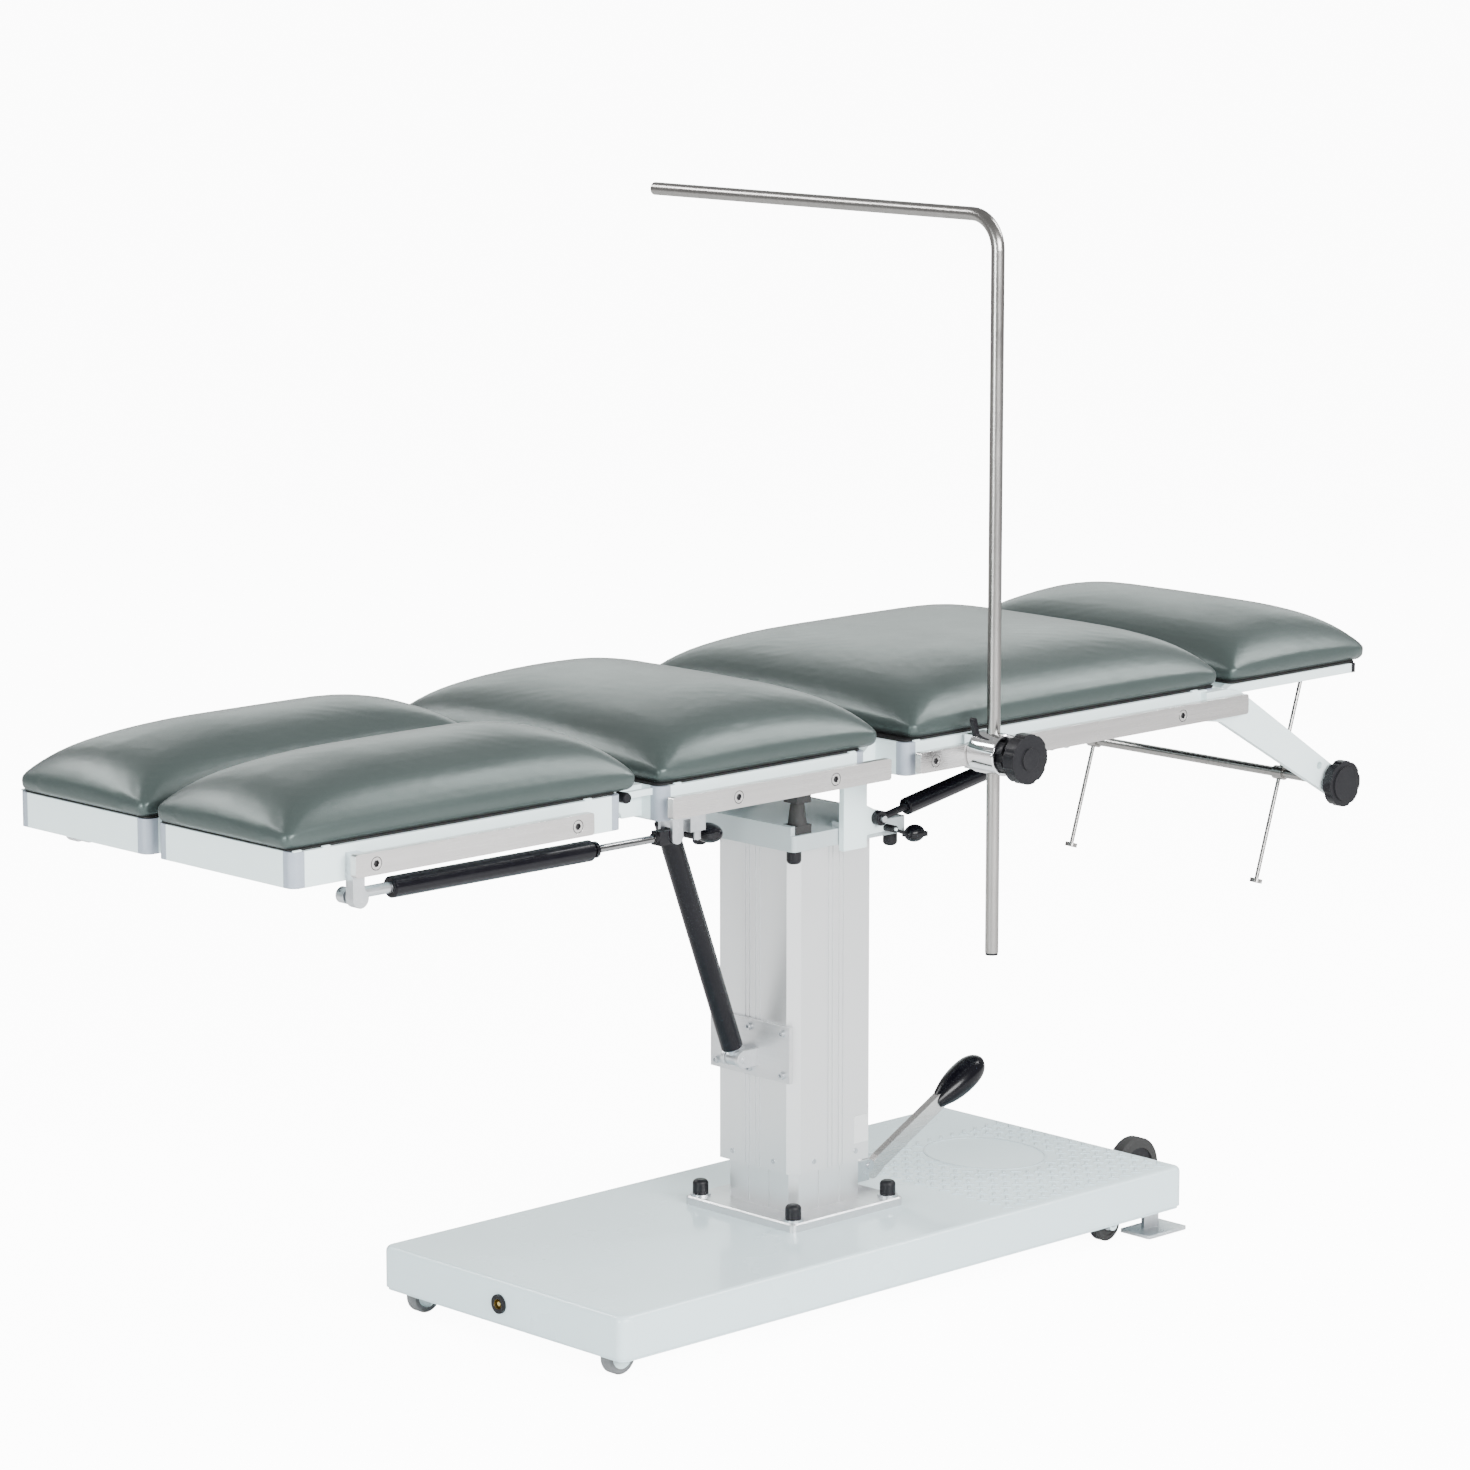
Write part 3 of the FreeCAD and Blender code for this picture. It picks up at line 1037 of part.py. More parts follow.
def pump_lever():
    """Flat bar bent below its pivot and rising to the grip."""
    foot = strap_xz(LEVER_PIVOT, LEVER_FOOT, LEVER_WIDTH, -LEVER_HALF, LEVER_HALF)
    middle = strap_xz(LEVER_FOOT, LEVER_BEND, LEVER_WIDTH, -LEVER_HALF, LEVER_HALF)
    shaft = strap_xz(LEVER_BEND, LEVER_TIP, LEVER_WIDTH, -LEVER_HALF, LEVER_HALF)
    shape = fuse([foot, middle, shaft])
    return shape.cut(tube_y(-8, 8, LEVER_PIVOT[0], LEVER_PIVOT[1], LEVER_PIN + 2 * PIN_GAP))


def lever_grip():
    """Egg-shaped grip on the lever's end."""
    half = GRIP_LENGTH / 2
    angle = math.degrees(math.atan2(LEVER_TIP[1] - LEVER_BEND[1], LEVER_TIP[0] - LEVER_BEND[0]))
    profile = [(-half, 9.0), (-half * 0.55, 17.0), (half * 0.2, GRIP_DIAMETER / 2), (half * 0.8, 14.0)]
    points = [VEC(-half, 0, 0)] + [VEC(a, 0, b) for a, b in profile] + [VEC(half, 0, 0.0)]
    curve = Part.BSplineCurve()
    curve.interpolate(points[1:])
    edges = [Part.makeLine(points[0], points[1]), curve.toShape(), Part.makeLine(points[-1], points[0])]
    grip = Part.Face(Part.Wire(edges)).revolve(VEC(0, 0, 0), ALONG, 360)
    hole = block(-half - 1, 4, -LEVER_HALF, LEVER_HALF, -LEVER_WIDTH / 2, LEVER_WIDTH / 2)
    hole = hole.fuse(tube_y(-LEVER_HALF, LEVER_HALF, 4, 0, LEVER_WIDTH))
    grip = grip.cut(hole)
    grip.rotate(VEC(0, 0, 0), ACROSS, -angle)
    cosine = math.cos(math.radians(angle))
    sine = math.sin(math.radians(angle))
    grip.translate(VEC(LEVER_TIP[0] + (half - 8) * cosine, 0, LEVER_TIP[1] + (half - 8) * sine))
    return grip


def wheel(x, y, diameter, width, bore):
    """Wheel with bevelled tyre edges and a recessed hub on both faces."""
    z = diameter / 2
    shape = tube_y(y - width / 2, y + width / 2, x, z, diameter)
    rims = [edge for edge in shape.Edges if edge.BoundBox.YLength < 0.01]
    shape = shape.makeChamfer(width * 0.15, rims)
    for side in (-1, 1):
        edge_y = y + side * width / 2
        groove = tube_y(edge_y + side, edge_y - side * 2, x, z, diameter * 0.68)
        groove = groove.cut(tube_y(edge_y + 2 * side, edge_y - side * 3, x, z, diameter * 0.36))
        shape = shape.cut(groove)
    return shape.cut(tube_y(y - width, y + width, x, z, bore))


def foot_fork(side):
    """Swivel fork of one foot-end castor."""
    y = side * CASTOR_Y
    x = CASTOR_X - CASTOR_TRAIL
    half = CASTOR_WIDTH / 2
    radius = CASTOR_DIAMETER / 2
    bridge = tube_z(CASTOR_DIAMETER + 3, CASTOR_DIAMETER + 7, CASTOR_X, y, 44.0)
    stem = tube_z(CASTOR_DIAMETER + 6, POCKET_TOP + 15, CASTOR_X, y, PIN)
    shapes = [bridge, stem]
    for place in (-1, 1):
        y0 = y + place * (half + 1.5)
        y1 = y + place * (half + 4.5)
        cheek = block(x - 8, CASTOR_X + 8, y0, y1, radius + 8, CASTOR_DIAMETER + 4)
        drop = block(x - 8, x + 8, y0, y1, radius, radius + 9)
        shapes += [cheek, drop, tube_y(y0, y1, x, radius, 16.0)]
    shapes.append(tube_y(y - half - 4, y + half + 4, x, radius, AXLE))
    return fuse(shapes)


def head_wheels():
    """Pair of small wheels on one axle through the slab."""
    shapes = []
    for side in (-1, 1):
        y = side * HEAD_WHEEL_Y
        shapes.append(wheel(HEAD_WHEEL_X, y, CASTOR_DIAMETER, CASTOR_WIDTH, 2.0))
    return shapes


def transport_bracket():
    """Bracket that holds the single transport wheel on the base's head face."""
    x = TRANSPORT_X
    y = TRANSPORT_Y
    half = TRANSPORT_WIDTH / 2
    z = TRANSPORT_DIAMETER / 2
    shapes = [block(BASE_HALF_X, BASE_HALF_X + 6, y - half - 20, y + half + 20, BASE_BOTTOM + 7, BASE_TOP - 10)]
    for place in (-1, 1):
        y0 = y + place * (half + 2)
        y1 = y + place * (half + 6)
        shapes.append(block(BASE_HALF_X + 5, x, y0, y1, z - 9, z + 9).fuse(tube_y(y0, y1, x, z, 18.0)))
    shapes.append(tube_y(y - half - 9, y + half + 9, x, z, PIN))
    return fuse(shapes)


def foot_pedal():
    """Flat brake foot on an upright strap at the base's near edge."""
    top = PEDAL_BOTTOM + PEDAL_THICK
    strap = block(PEDAL_X - PEDAL_STRAP_X, PEDAL_X + PEDAL_STRAP_X, PEDAL_Y - PEDAL_STRAP_Y,
                  PEDAL_Y + PEDAL_STRAP_Y, PEDAL_BOTTOM + 1, BASE_BOTTOM + 23)
    pad = rounded_block(PEDAL_X - 37, PEDAL_X + 43, PEDAL_Y - 32, PEDAL_Y + 24, PEDAL_BOTTOM, top, 4.0)
    return strap.fuse(pad)


def main():
    """Build and write every piece."""
    os.makedirs("parts", exist_ok=True)
    save("base_slab", base_slab())
    save("bonding_socket", bonding_socket())
    save("column_plate", column_plate())
    save("plate_caps", plate_caps())
    save("column_inner", column_inner())
    save("lever_bracket", lever_bracket())
    save("transport_bracket", transport_bracket())
    save("pump_lever", pump_lever())
    save("lever_grip", lever_grip())
    for side, name in ((-1, "near"), (1, "far")):
        save("foot_fork_" + name, foot_fork(side))
        x = CASTOR_X - CASTOR_TRAIL
        save("foot_wheel_" + name, wheel(x, side * CASTOR_Y, CASTOR_DIAMETER, CASTOR_WIDTH, AXLE + 2 * AXLE_GAP))
    pair = head_wheels()
    axle = tube_y(-HEAD_WHEEL_Y - 19, HEAD_WHEEL_Y + 19, HEAD_WHEEL_X, CASTOR_DIAMETER / 2, HEAD_AXLE)
    save("head_wheels", axle.fuse(pair))
    save("transport_wheel", wheel(TRANSPORT_X, TRANSPORT_Y, TRANSPORT_DIAMETER, TRANSPORT_WIDTH,
                                  PIN + 2 * AXLE_GAP))
    save("foot_pedal", foot_pedal())
    save("column_outer", column_outer())
    save("column_screws", column_screws())
    save("anchor_plate", anchor_plate())
    save("column_head", column_head())
    save("head_caps", head_caps())
    save("rubber_stops", rubber_stops())
    tilt = tilt_spring()
    save("tilt_cylinder", tilt.cylinder(16, tilt.length - 56, TILT_SPRING_DIAMETER, ROD_THICK, 14.0, TILT_EYE))
    save("tilt_rod", tilt.rod(tilt.length - 276, ROD_THICK, 14.0, TILT_EYE - 2, True))
    save("tilt_yoke", tilt_yoke())
    save("seat_frame", seat_frame())
    save("seat_corners", corners(SEAT_FOOT_X, SEAT_BACK_X, -HALF_WIDTH, HALF_WIDTH))
    save("spring_brackets", spring_brackets())
    low, high = SEAT_RAIL_X
    save("seat_rails", both(side_rail(low, high, (low + 114, high - 102))))
    wide = (-HALF_WIDTH, HALF_WIDTH)
    save("seat_cushion", cushion(SEAT_CUSHION_X, wide, (SEAT_FOOT_X + 2, SEAT_BACK_X - 6)))
    for side, name in ((-1, "near"), (1, "far")):
        inner, outer = leg_ys(side)
        save("leg_frame_" + name, leg_frame(side))
        save("leg_corners_" + name, corners(LEG_FOOT_X, LEG_SEAT_X, inner, outer))
        low, high = LEG_RAIL_X
        rail = side_rail(low, high, (low + 32, high - 27))
        if side > 0:
            rail = rail.mirror(VEC(0, 0, 0), ACROSS)
        save("leg_rail_" + name, rail)
        across = sorted((inner - side * 4, outer))
        save("leg_cushion_" + name, cushion(LEG_CUSHION_X, across, (LEG_FOOT_X + 2, LEG_SEAT_X - 10)))
        spring = leg_spring(side)
        barrel = spring.cylinder(68, spring.length - 137, LEG_SPRING_DIAMETER, ROD_THICK, 14.0, EYE_WIDTH - 2)
        save("leg_cylinder_" + name, barrel)
        save("leg_rod_" + name, spring.rod(spring.length - 275, ROD_THICK, 15.0, EYE_WIDTH, True))
        save("leg_paddle_" + name, paddle(LEG_PADDLE[0], side * LEG_SPRING_Y, LEG_PADDLE[1], 14, 1, 18, 22))
    save("back_frame", back_frame())
    save("back_corners", corners(BACK_SEAT_X, BACK_HEAD_X, -HALF_WIDTH, HALF_WIDTH))
    low, high = BACK_RAIL_X
    save("back_rails", both(side_rail(low, high, (low + 28, high - 138))))
    save("back_cushion", cushion(BACK_CUSHION_X, wide, (BACK_SEAT_X + 4, BACK_HEAD_X - 2)))
    save("head_arms", head_arms())
    spring = back_spring()
    barrel = spring.cylinder(50, spring.length - 108, BACK_SPRING_DIAMETER, ROD_THICK, 10.0, 10.0)
    save("back_cylinder", barrel)
    save("back_rod", spring.rod(68, ROD_THICK, 15.0, EYE_WIDTH, True))
    save("back_paddle", paddle(BACK_PADDLE[0], -BACK_SPRING_Y, BACK_PADDLE[1], 36, 14, 26, 13))
    save("head_frame", head_frame())
    save("head_cushion", cushion(HEAD_CUSHION_X, wide, (HEAD_CUSHION_X[0] + 2, HEAD_END_X + 10)))
    save("head_rods", head_rods())
    save("head_spindle", head_spindle())
    save("spindle_knob", spindle_knob())
    save("screen_bar", screen_bar())
    save("rail_clamp", rail_clamp())
    save("clamp_knob", clamp_knob())


main()
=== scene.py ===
"""Blender looks for a height-adjustable operating table with four padded sections."""

import logging
import math
from dataclasses import dataclass
from enum import Enum
from typing import Callable, Optional, Sequence

import bpy
import numpy as np
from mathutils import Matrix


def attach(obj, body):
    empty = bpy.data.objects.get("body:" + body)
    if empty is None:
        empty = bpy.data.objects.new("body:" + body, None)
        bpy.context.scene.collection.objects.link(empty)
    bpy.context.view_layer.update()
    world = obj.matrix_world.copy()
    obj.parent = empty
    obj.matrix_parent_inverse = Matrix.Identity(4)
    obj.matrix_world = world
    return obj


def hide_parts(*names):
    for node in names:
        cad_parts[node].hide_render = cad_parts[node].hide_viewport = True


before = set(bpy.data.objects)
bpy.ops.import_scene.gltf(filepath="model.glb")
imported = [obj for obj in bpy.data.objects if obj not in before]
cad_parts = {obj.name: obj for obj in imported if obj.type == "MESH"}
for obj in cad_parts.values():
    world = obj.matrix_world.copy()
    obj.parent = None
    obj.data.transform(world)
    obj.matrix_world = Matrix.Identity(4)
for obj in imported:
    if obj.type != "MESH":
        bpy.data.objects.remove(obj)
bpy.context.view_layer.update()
LOG = logging.getLogger("operating_table")
MM = 0.001


class Grain(Enum):
    """Direction in which a surface was drawn, rolled or brushed."""

    NONE = (1.0, 1.0, 1.0)
    ALONG_X = (0.02, 1.0, 1.0)
    ALONG_Y = (1.0, 0.02, 1.0)
    ALONG_Z = (1.0, 1.0, 0.012)


class Bench:
    """Small helper that places and links nodes in one node tree."""

    def __init__(self, tree: bpy.types.NodeTree) -> None:
        """Keep the tree.

        Args:
            tree: node tree to work in.
        """
        self.tree = tree

    def add(self, kind: str, **values: object) -> bpy.types.Node:
        """Add a node and set its attributes.

        Args:
            kind: node type name.
            values: attribute values.

        Returns:
            The new node.
        """
        node = self.tree.nodes.new(kind)
        for key, value in values.items():
            setattr(node, key, value)
        return node

    def feed(self, socket: bpy.types.NodeSocket, value: object) -> None:
        """Link a socket to another, or set its value.

        Args:
            socket: input socket.
            value: output socket, number or tuple.
        """
        if isinstance(value, bpy.types.NodeSocket):
            self.tree.links.new(value, socket)
        else:
            socket.default_value = value

    def math(self, operation: str, a: object, b: object = 0.0) -> bpy.types.NodeSocket:
        """Add a math node.

        Args:
            operation: math operation name.
            a: first value or socket.
            b: second value or socket.

        Returns:
            The result socket.
        """
        node = self.add("ShaderNodeMath", operation=operation)
        self.feed(node.inputs[0], a)
        self.feed(node.inputs[1], b)
        return node.outputs[0]

    def noise(self, place: object, scale: float, detail: float, rough: float = 0.5) -> bpy.types.NodeSocket:
        """Add a noise texture.

        Args:
            place: coordinate socket.
            scale: noise scale.
            detail: octaves.
            rough: roughness of the octaves.

        Returns:
            The noise factor.
        """
        node = self.add("ShaderNodeTexNoise")
        self.feed(node.inputs["Vector"], place)
        self.feed(node.inputs["Scale"], scale)
        self.feed(node.inputs["Detail"], detail)
        self.feed(node.inputs["Roughness"], rough)
        return node.outputs["Fac"]

    def blend(self, factor: object, first: object, second: object) -> bpy.types.NodeSocket:
        """Mix two colours.

        Args:
            factor: mix factor.
            first: colour at 0.
            second: colour at 1.

        Returns:
            The mixed colour.
        """
        node = self.add("ShaderNodeMix", data_type="RGBA")
        self.feed(node.inputs[0], factor)
        self.feed(node.inputs[6], first)
        self.feed(node.inputs[7], second)
        return node.outputs[2]

    def span(self, value: object, low: float, high: float, to_low: float, to_high: float) -> bpy.types.NodeSocket:
        """Map a value from one range to another, clamped.

        Args:
            value: input socket.
            low: input at the start.
            high: input at the end.
            to_low: output at the start.
            to_high: output at the end.

        Returns:
            The mapped value.
        """
        node = self.add("ShaderNodeMapRange")
        for index, entry in enumerate((value, low, high, to_low, to_high)):
            self.feed(node.inputs[index], entry)
        return node.outputs[0]


def shared_group(name: str, inputs: Sequence[str], outputs: Sequence[str]) -> tuple:
    """Start a node group with float inputs and outputs.

    Args:
        name: group name.
        inputs: names of the float inputs, after the Place vector.
        outputs: names of the float outputs.

    Returns:
        The group, its bench, its input node and its output node.
    """
    group = bpy.data.node_groups.new(name, "ShaderNodeTree")
    group.interface.new_socket("Place", in_out="INPUT", socket_type="NodeSocketVector")
    for label in inputs:
        group.interface.new_socket(label, in_out="INPUT", socket_type="NodeSocketFloat")
    for label in outputs:
        group.interface.new_socket(label, in_out="OUTPUT", socket_type="NodeSocketFloat")
    bench = Bench(group)
    return group, bench, bench.add("NodeGroupInput"), bench.add("NodeGroupOutput")


def handling_group() -> bpy.types.NodeTree:
    """Soft blotches and fine specks of a surface that has been handled and wiped.

    Returns:
        Group with Blotch and Speck masks.
    """
    group, bench, start, end = shared_group("handling", ("Blotch size", "Speck size"), ("Blotch", "Speck"))
    place = start.outputs["Place"]
    blotch_scale = bench.math("DIVIDE", 1.0, start.outputs["Blotch size"])
    speck_scale = bench.math("DIVIDE", 1.0, start.outputs["Speck size"])
    bench.feed(end.inputs["Blotch"], bench.span(bench.noise(place, blotch_scale, 4.0, 0.6), 0.32, 0.7, 0.0, 1.0))
    bench.feed(end.inputs["Speck"], bench.span(bench.noise(place, speck_scale, 2.0, 0.7), 0.58, 0.78, 0.0, 1.0))
    return group


def drawn_group() -> bpy.types.NodeTree:
    """Fine lines of drawn, rolled or brushed metal; Place is stretched beforehand along the lines.

    Returns:
        Group with Line heights and a softer Band.
    """
    group, bench, start, end = shared_group("drawn_lines", ("Line size",), ("Line", "Band"))
    place = start.outputs["Place"]
    scale = bench.math("DIVIDE", 1.0, start.outputs["Line size"])
    bench.feed(end.inputs["Line"], bench.noise(place, scale, 5.0, 0.75))
    wide = bench.math("MULTIPLY", scale, 0.14)
    bench.feed(end.inputs["Band"], bench.span(bench.noise(place, wide, 3.0, 0.6), 0.3, 0.7, 0.0, 1.0))
    return group


def hide_group() -> bpy.types.NodeTree:
    """Fine pebbled grain of coated upholstery cloth: rounded cells with pores, over faint wide waves.

    Returns:
        Group with Pebble height, Pore mask and Wave.
    """
    group, bench, start, end = shared_group("vinyl_grain", ("Cell size",), ("Pebble", "Pore", "Wave"))
    place = start.outputs["Place"]
    scale = bench.math("DIVIDE", 1.0, start.outputs["Cell size"])
    cells = bench.add("ShaderNodeTexVoronoi", feature="SMOOTH_F1")
    bench.feed(cells.inputs["Vector"], place)
    bench.feed(cells.inputs["Scale"], scale)
    pebble = bench.span(cells.outputs["Distance"], 0.05, 0.65, 1.0, 0.0)
    fine = bench.noise(place, bench.math("MULTIPLY", scale, 2.3), 3.0)
    bench.feed(end.inputs["Pebble"], bench.math("ADD", pebble, bench.math("MULTIPLY", fine, 0.35)))
    bench.feed(end.inputs["Pore"], bench.span(cells.outputs["Distance"], 0.5, 0.75, 0.0, 1.0))
    bench.feed(end.inputs["Wave"], bench.span(bench.noise(place, 9.0, 3.0, 0.55), 0.3, 0.7, 0.0, 1.0))
    return group


HANDLING = handling_group()
DRAWN = drawn_group()
HIDE = hide_group()


@dataclass(frozen=True)
class Finish:
    """One surface finish with its colours, gloss, grain and edge softness.

    Sizes are in metres.
    """

    name: str
    colour: tuple
    colour_deep: tuple
    rough_low: float
    rough_high: float
    metallic: float = 0.0
    grain: Grain = Grain.NONE
    line_size: float = 0.0006
    line_depth: float = 0.0
    blotch_size: float = 0.12
    speck_size: float = 0.0015
    speck_depth: float = 0.00002
    speck_tint: float = 0.15
    edge: float = 0.0006
    coat: float = 0.0
    specular: float = 0.5

    def place(self, bench: Bench, stretched: bool) -> bpy.types.NodeSocket:
        """Object coordinates, stretched along the grain on request.

        Args:
            bench: bench of the material.
            stretched: whether the grain's stretch applies.

        Returns:
            The coordinate socket.
        """
        source = bench.add("ShaderNodeTexCoord").outputs["Object"]
        if not stretched:
            return source
        mapping = bench.add("ShaderNodeMapping")
        bench.feed(mapping.inputs["Vector"], source)
        mapping.inputs["Scale"].default_value = self.grain.value
        return mapping.outputs["Vector"]

    def edge_normal(self, bench: Bench) -> bpy.types.NodeSocket:
        """Softened edge normal.

        Args:
            bench: bench of the material.

        Returns:
            The normal socket.
        """
        bevel = bench.add("ShaderNodeBevel", samples=4)
        bevel.inputs["Radius"].default_value = self.edge
        return bevel.outputs["Normal"]

    def material(self) -> bpy.types.Material:
        """Build the material, or return it if it was built before.

        Returns:
            The finished material.
        """
        known = bpy.data.materials.get(self.name)
        if known is not None:
            return known
        made = bpy.data.materials.new(self.name)
        made.use_nodes = True
        bench = Bench(made.node_tree)
        shader = made.node_tree.nodes["Principled BSDF"]
        handled = bench.add("ShaderNodeGroup", node_tree=HANDLING)
        bench.feed(handled.inputs["Place"], self.place(bench, False))
        handled.inputs["Blotch size"].default_value = self.blotch_size
        handled.inputs["Speck size"].default_value = self.speck_size
        lines = bench.add("ShaderNodeGroup", node_tree=DRAWN)
        bench.feed(lines.inputs["Place"], self.place(bench, True))
        lines.inputs["Line size"].default_value = self.line_size
        tint = bench.math("MULTIPLY", handled.outputs["Blotch"], 0.7)
        if self.line_depth > 0:
            tint = bench.math("ADD", bench.math("MULTIPLY", tint, 0.5),
                              bench.math("MULTIPLY", lines.outputs["Band"], 0.5))
        tint = bench.math("ADD", tint, bench.math("MULTIPLY", handled.outputs["Speck"], self.speck_tint))
        shade = bench.blend(tint, (*self.colour, 1.0), (*self.colour_deep, 1.0))
        bench.feed(shader.inputs["Base Color"], shade)
        rough = bench.span(handled.outputs["Blotch"], 0.0, 1.0, self.rough_low, self.rough_high)
        if self.line_depth > 0:
            rough = bench.math("ADD", rough, bench.span(lines.outputs["Line"], 0.3, 0.7, -0.05, 0.06))
        bench.feed(shader.inputs["Roughness"], rough)
        shader.inputs["Metallic"].default_value = self.metallic
        shader.inputs["Coat Weight"].default_value = self.coat
        shader.inputs["Coat Roughness"].default_value = 0.08
        shader.inputs["Specular IOR Level"].default_value = self.specular
        height = bench.math("MULTIPLY", handled.outputs["Speck"], self.speck_depth)
        if self.line_depth > 0:
            height = bench.math("ADD", height, bench.math("MULTIPLY", lines.outputs["Line"], self.line_depth))
        bump = bench.add("ShaderNodeBump")
        bump.inputs["Distance"].default_value = 1.0
        bump.inputs["Strength"].default_value = 0.8
        bench.feed(bump.inputs["Height"], height)
        bench.feed(bump.inputs["Normal"], self.edge_normal(bench))
        bench.feed(shader.inputs["Normal"], bump.outputs["Normal"])
        return made


@dataclass(frozen=True)
class Vinyl:
    """Grey-green coated upholstery cloth with a fine pebbled grain."""

    name: str = "vinyl_grey_green"
    colour: tuple = (0.038, 0.050, 0.048)
    colour_deep: tuple = (0.029, 0.040, 0.038)
    cell: float = 0.0011
    depth: float = 0.00010

    def material(self) -> bpy.types.Material:
        """Build the material, or return it if it was built before.

        Returns:
            The finished material.
        """
        known = bpy.data.materials.get(self.name)
        if known is not None:
            return known
        made = bpy.data.materials.new(self.name)
        made.use_nodes = True
        bench = Bench(made.node_tree)
        shader = made.node_tree.nodes["Principled BSDF"]
        place = bench.add("ShaderNodeTexCoord").outputs["Object"]
        hide = bench.add("ShaderNodeGroup", node_tree=HIDE)
        bench.feed(hide.inputs["Place"], place)
        hide.inputs["Cell size"].default_value = self.cell
        handled = bench.add("ShaderNodeGroup", node_tree=HANDLING)
        bench.feed(handled.inputs["Place"], place)
        handled.inputs["Blotch size"].default_value = 0.16
        handled.inputs["Speck size"].default_value = 0.004
        deep = bench.math("ADD", bench.math("MULTIPLY", hide.outputs["Pore"], 0.55),
                          bench.math("MULTIPLY", hide.outputs["Wave"], 0.35))
        bench.feed(shader.inputs["Base Color"], bench.blend(deep, (*self.colour, 1.0), (*self.colour_deep, 1.0)))
        rough = bench.span(handled.outputs["Blotch"], 0.0, 1.0, 0.30, 0.37)
        bench.feed(shader.inputs["Roughness"], bench.math("ADD", rough,
                                                          bench.math("MULTIPLY", hide.outputs["Pore"], 0.06)))
        shader.inputs["Specular Tint"].default_value = (0.76, 0.95, 0.91, 1.0)
        shader.inputs["Sheen Weight"].default_value = 0.06
        shader.inputs["Sheen Roughness"].default_value = 0.4
        shader.inputs["Coat Weight"].default_value = 0.12
        shader.inputs["Coat Roughness"].default_value = 0.34
        bump = bench.add("ShaderNodeBump")
        bump.inputs["Distance"].default_value = 1.0
        bump.inputs["Strength"].default_value = 0.6
        bench.feed(bump.inputs["Height"], bench.math("MULTIPLY", hide.outputs["Pebble"], self.depth))
        bench.feed(shader.inputs["Normal"], bump.outputs["Normal"])
        return made


MOULDED = Finish("moulded_gelcoat", (0.69, 0.83, 0.87), (0.65, 0.79, 0.83), 0.24, 0.33, blotch_size=0.3,
                 speck_size=0.006, speck_depth=0.00005, speck_tint=0.06, edge=0.0016, coat=0.35)
PROFILE = Finish("column_profile", (0.335, 0.35, 0.37), (0.285, 0.30, 0.32), 0.34, 0.42, metallic=0.55,
                 grain=Grain.ALONG_Z, line_size=0.0011, line_depth=0.000035, edge=0.0005)
PLATE = Finish("milled_plate", (0.68, 0.69, 0.70), (0.57, 0.58, 0.60), 0.3, 0.42, metallic=0.75,
               grain=Grain.ALONG_Y, line_size=0.0009, line_depth=0.00003, edge=0.0009)
POWDER = Finish("powder_coat", (0.77, 0.895, 0.905), (0.73, 0.855, 0.865), 0.36, 0.46, blotch_size=0.18,
                speck_size=0.0012, speck_depth=0.00003, speck_tint=0.08, edge=0.0008)
RAIL = Finish("brushed_rail", (0.72, 0.70, 0.69), (0.58, 0.56, 0.55), 0.24, 0.34, metallic=1.0,
              grain=Grain.ALONG_X, line_size=0.0008, line_depth=0.00003, edge=0.0008)
TUBE = Finish("drawn_tube", (0.36, 0.35, 0.34), (0.28, 0.27, 0.26), 0.2, 0.3, metallic=1.0,
              grain=Grain.ALONG_Z, line_size=0.0007, line_depth=0.00002, edge=0.0005)
CHROME = Finish("polished_chrome", (0.86, 0.87, 0.88), (0.80, 0.81, 0.83), 0.04, 0.1, metallic=1.0,
                speck_depth=0.000004, speck_tint=0.1, edge=0.0012)
ZINC = Finish("bright_zinc", (0.66, 0.68, 0.70), (0.50, 0.53, 0.56), 0.26, 0.4, metallic=1.0, blotch_size=0.015,
              speck_size=0.0009, edge=0.0006)
BLACK = Finish("black_moulding", (0.007, 0.007, 0.009), (0.012, 0.012, 0.014), 0.34, 0.46, specular=0.2,
               blotch_size=0.03, speck_size=0.0009, speck_depth=0.00004, speck_tint=0.3, edge=0.0012)
GLOSS_BLACK = Finish("black_cylinder_paint", (0.003, 0.003, 0.005), (0.005, 0.005, 0.007), 0.2, 0.28, specular=0.22,
                     blotch_size=0.05, speck_depth=0.00001, edge=0.0008)
RUBBER = Finish("black_rubber", (0.005, 0.005, 0.0055), (0.009, 0.009, 0.0095), 0.55, 0.7, specular=0.2,
                blotch_size=0.02, speck_size=0.001, speck_depth=0.00005, speck_tint=0.4, edge=0.001)
GREY_WHEEL = Finish("grey_wheel", (0.16, 0.165, 0.17), (0.11, 0.115, 0.12), 0.4, 0.55, blotch_size=0.02,
                    speck_size=0.001, speck_depth=0.00003, edge=0.0008)
GREY_CAP = Finish("grey_corner_cap", (0.32, 0.36, 0.42), (0.28, 0.32, 0.38), 0.38, 0.48, blotch_size=0.03,
                  speck_size=0.0008, speck_depth=0.00002, edge=0.001)
TREAD = Finish("moulded_tread", (0.60, 0.715, 0.76), (0.56, 0.67, 0.71), 0.2, 0.28, blotch_size=0.3, speck_tint=0.05,
               edge=0.0003, coat=0.35)
STEEL = Finish("polished_rod", (0.30, 0.30, 0.305), (0.22, 0.22, 0.225), 0.12, 0.2, metallic=1.0, blotch_size=0.02,
               edge=0.0005)
# Painted shade: the frames' pale powder coat made darker for the column's tray, standing in for the shade that falls
# on the tray.
POWDER_SHADED = Finish("powder_coat_painted_shade", (0.43, 0.485, 0.50), (0.40, 0.455, 0.47), 0.36, 0.46, blotch_size=0.18,
              speck_size=0.0012, speck_depth=0.00003, speck_tint=0.08, edge=0.0008)
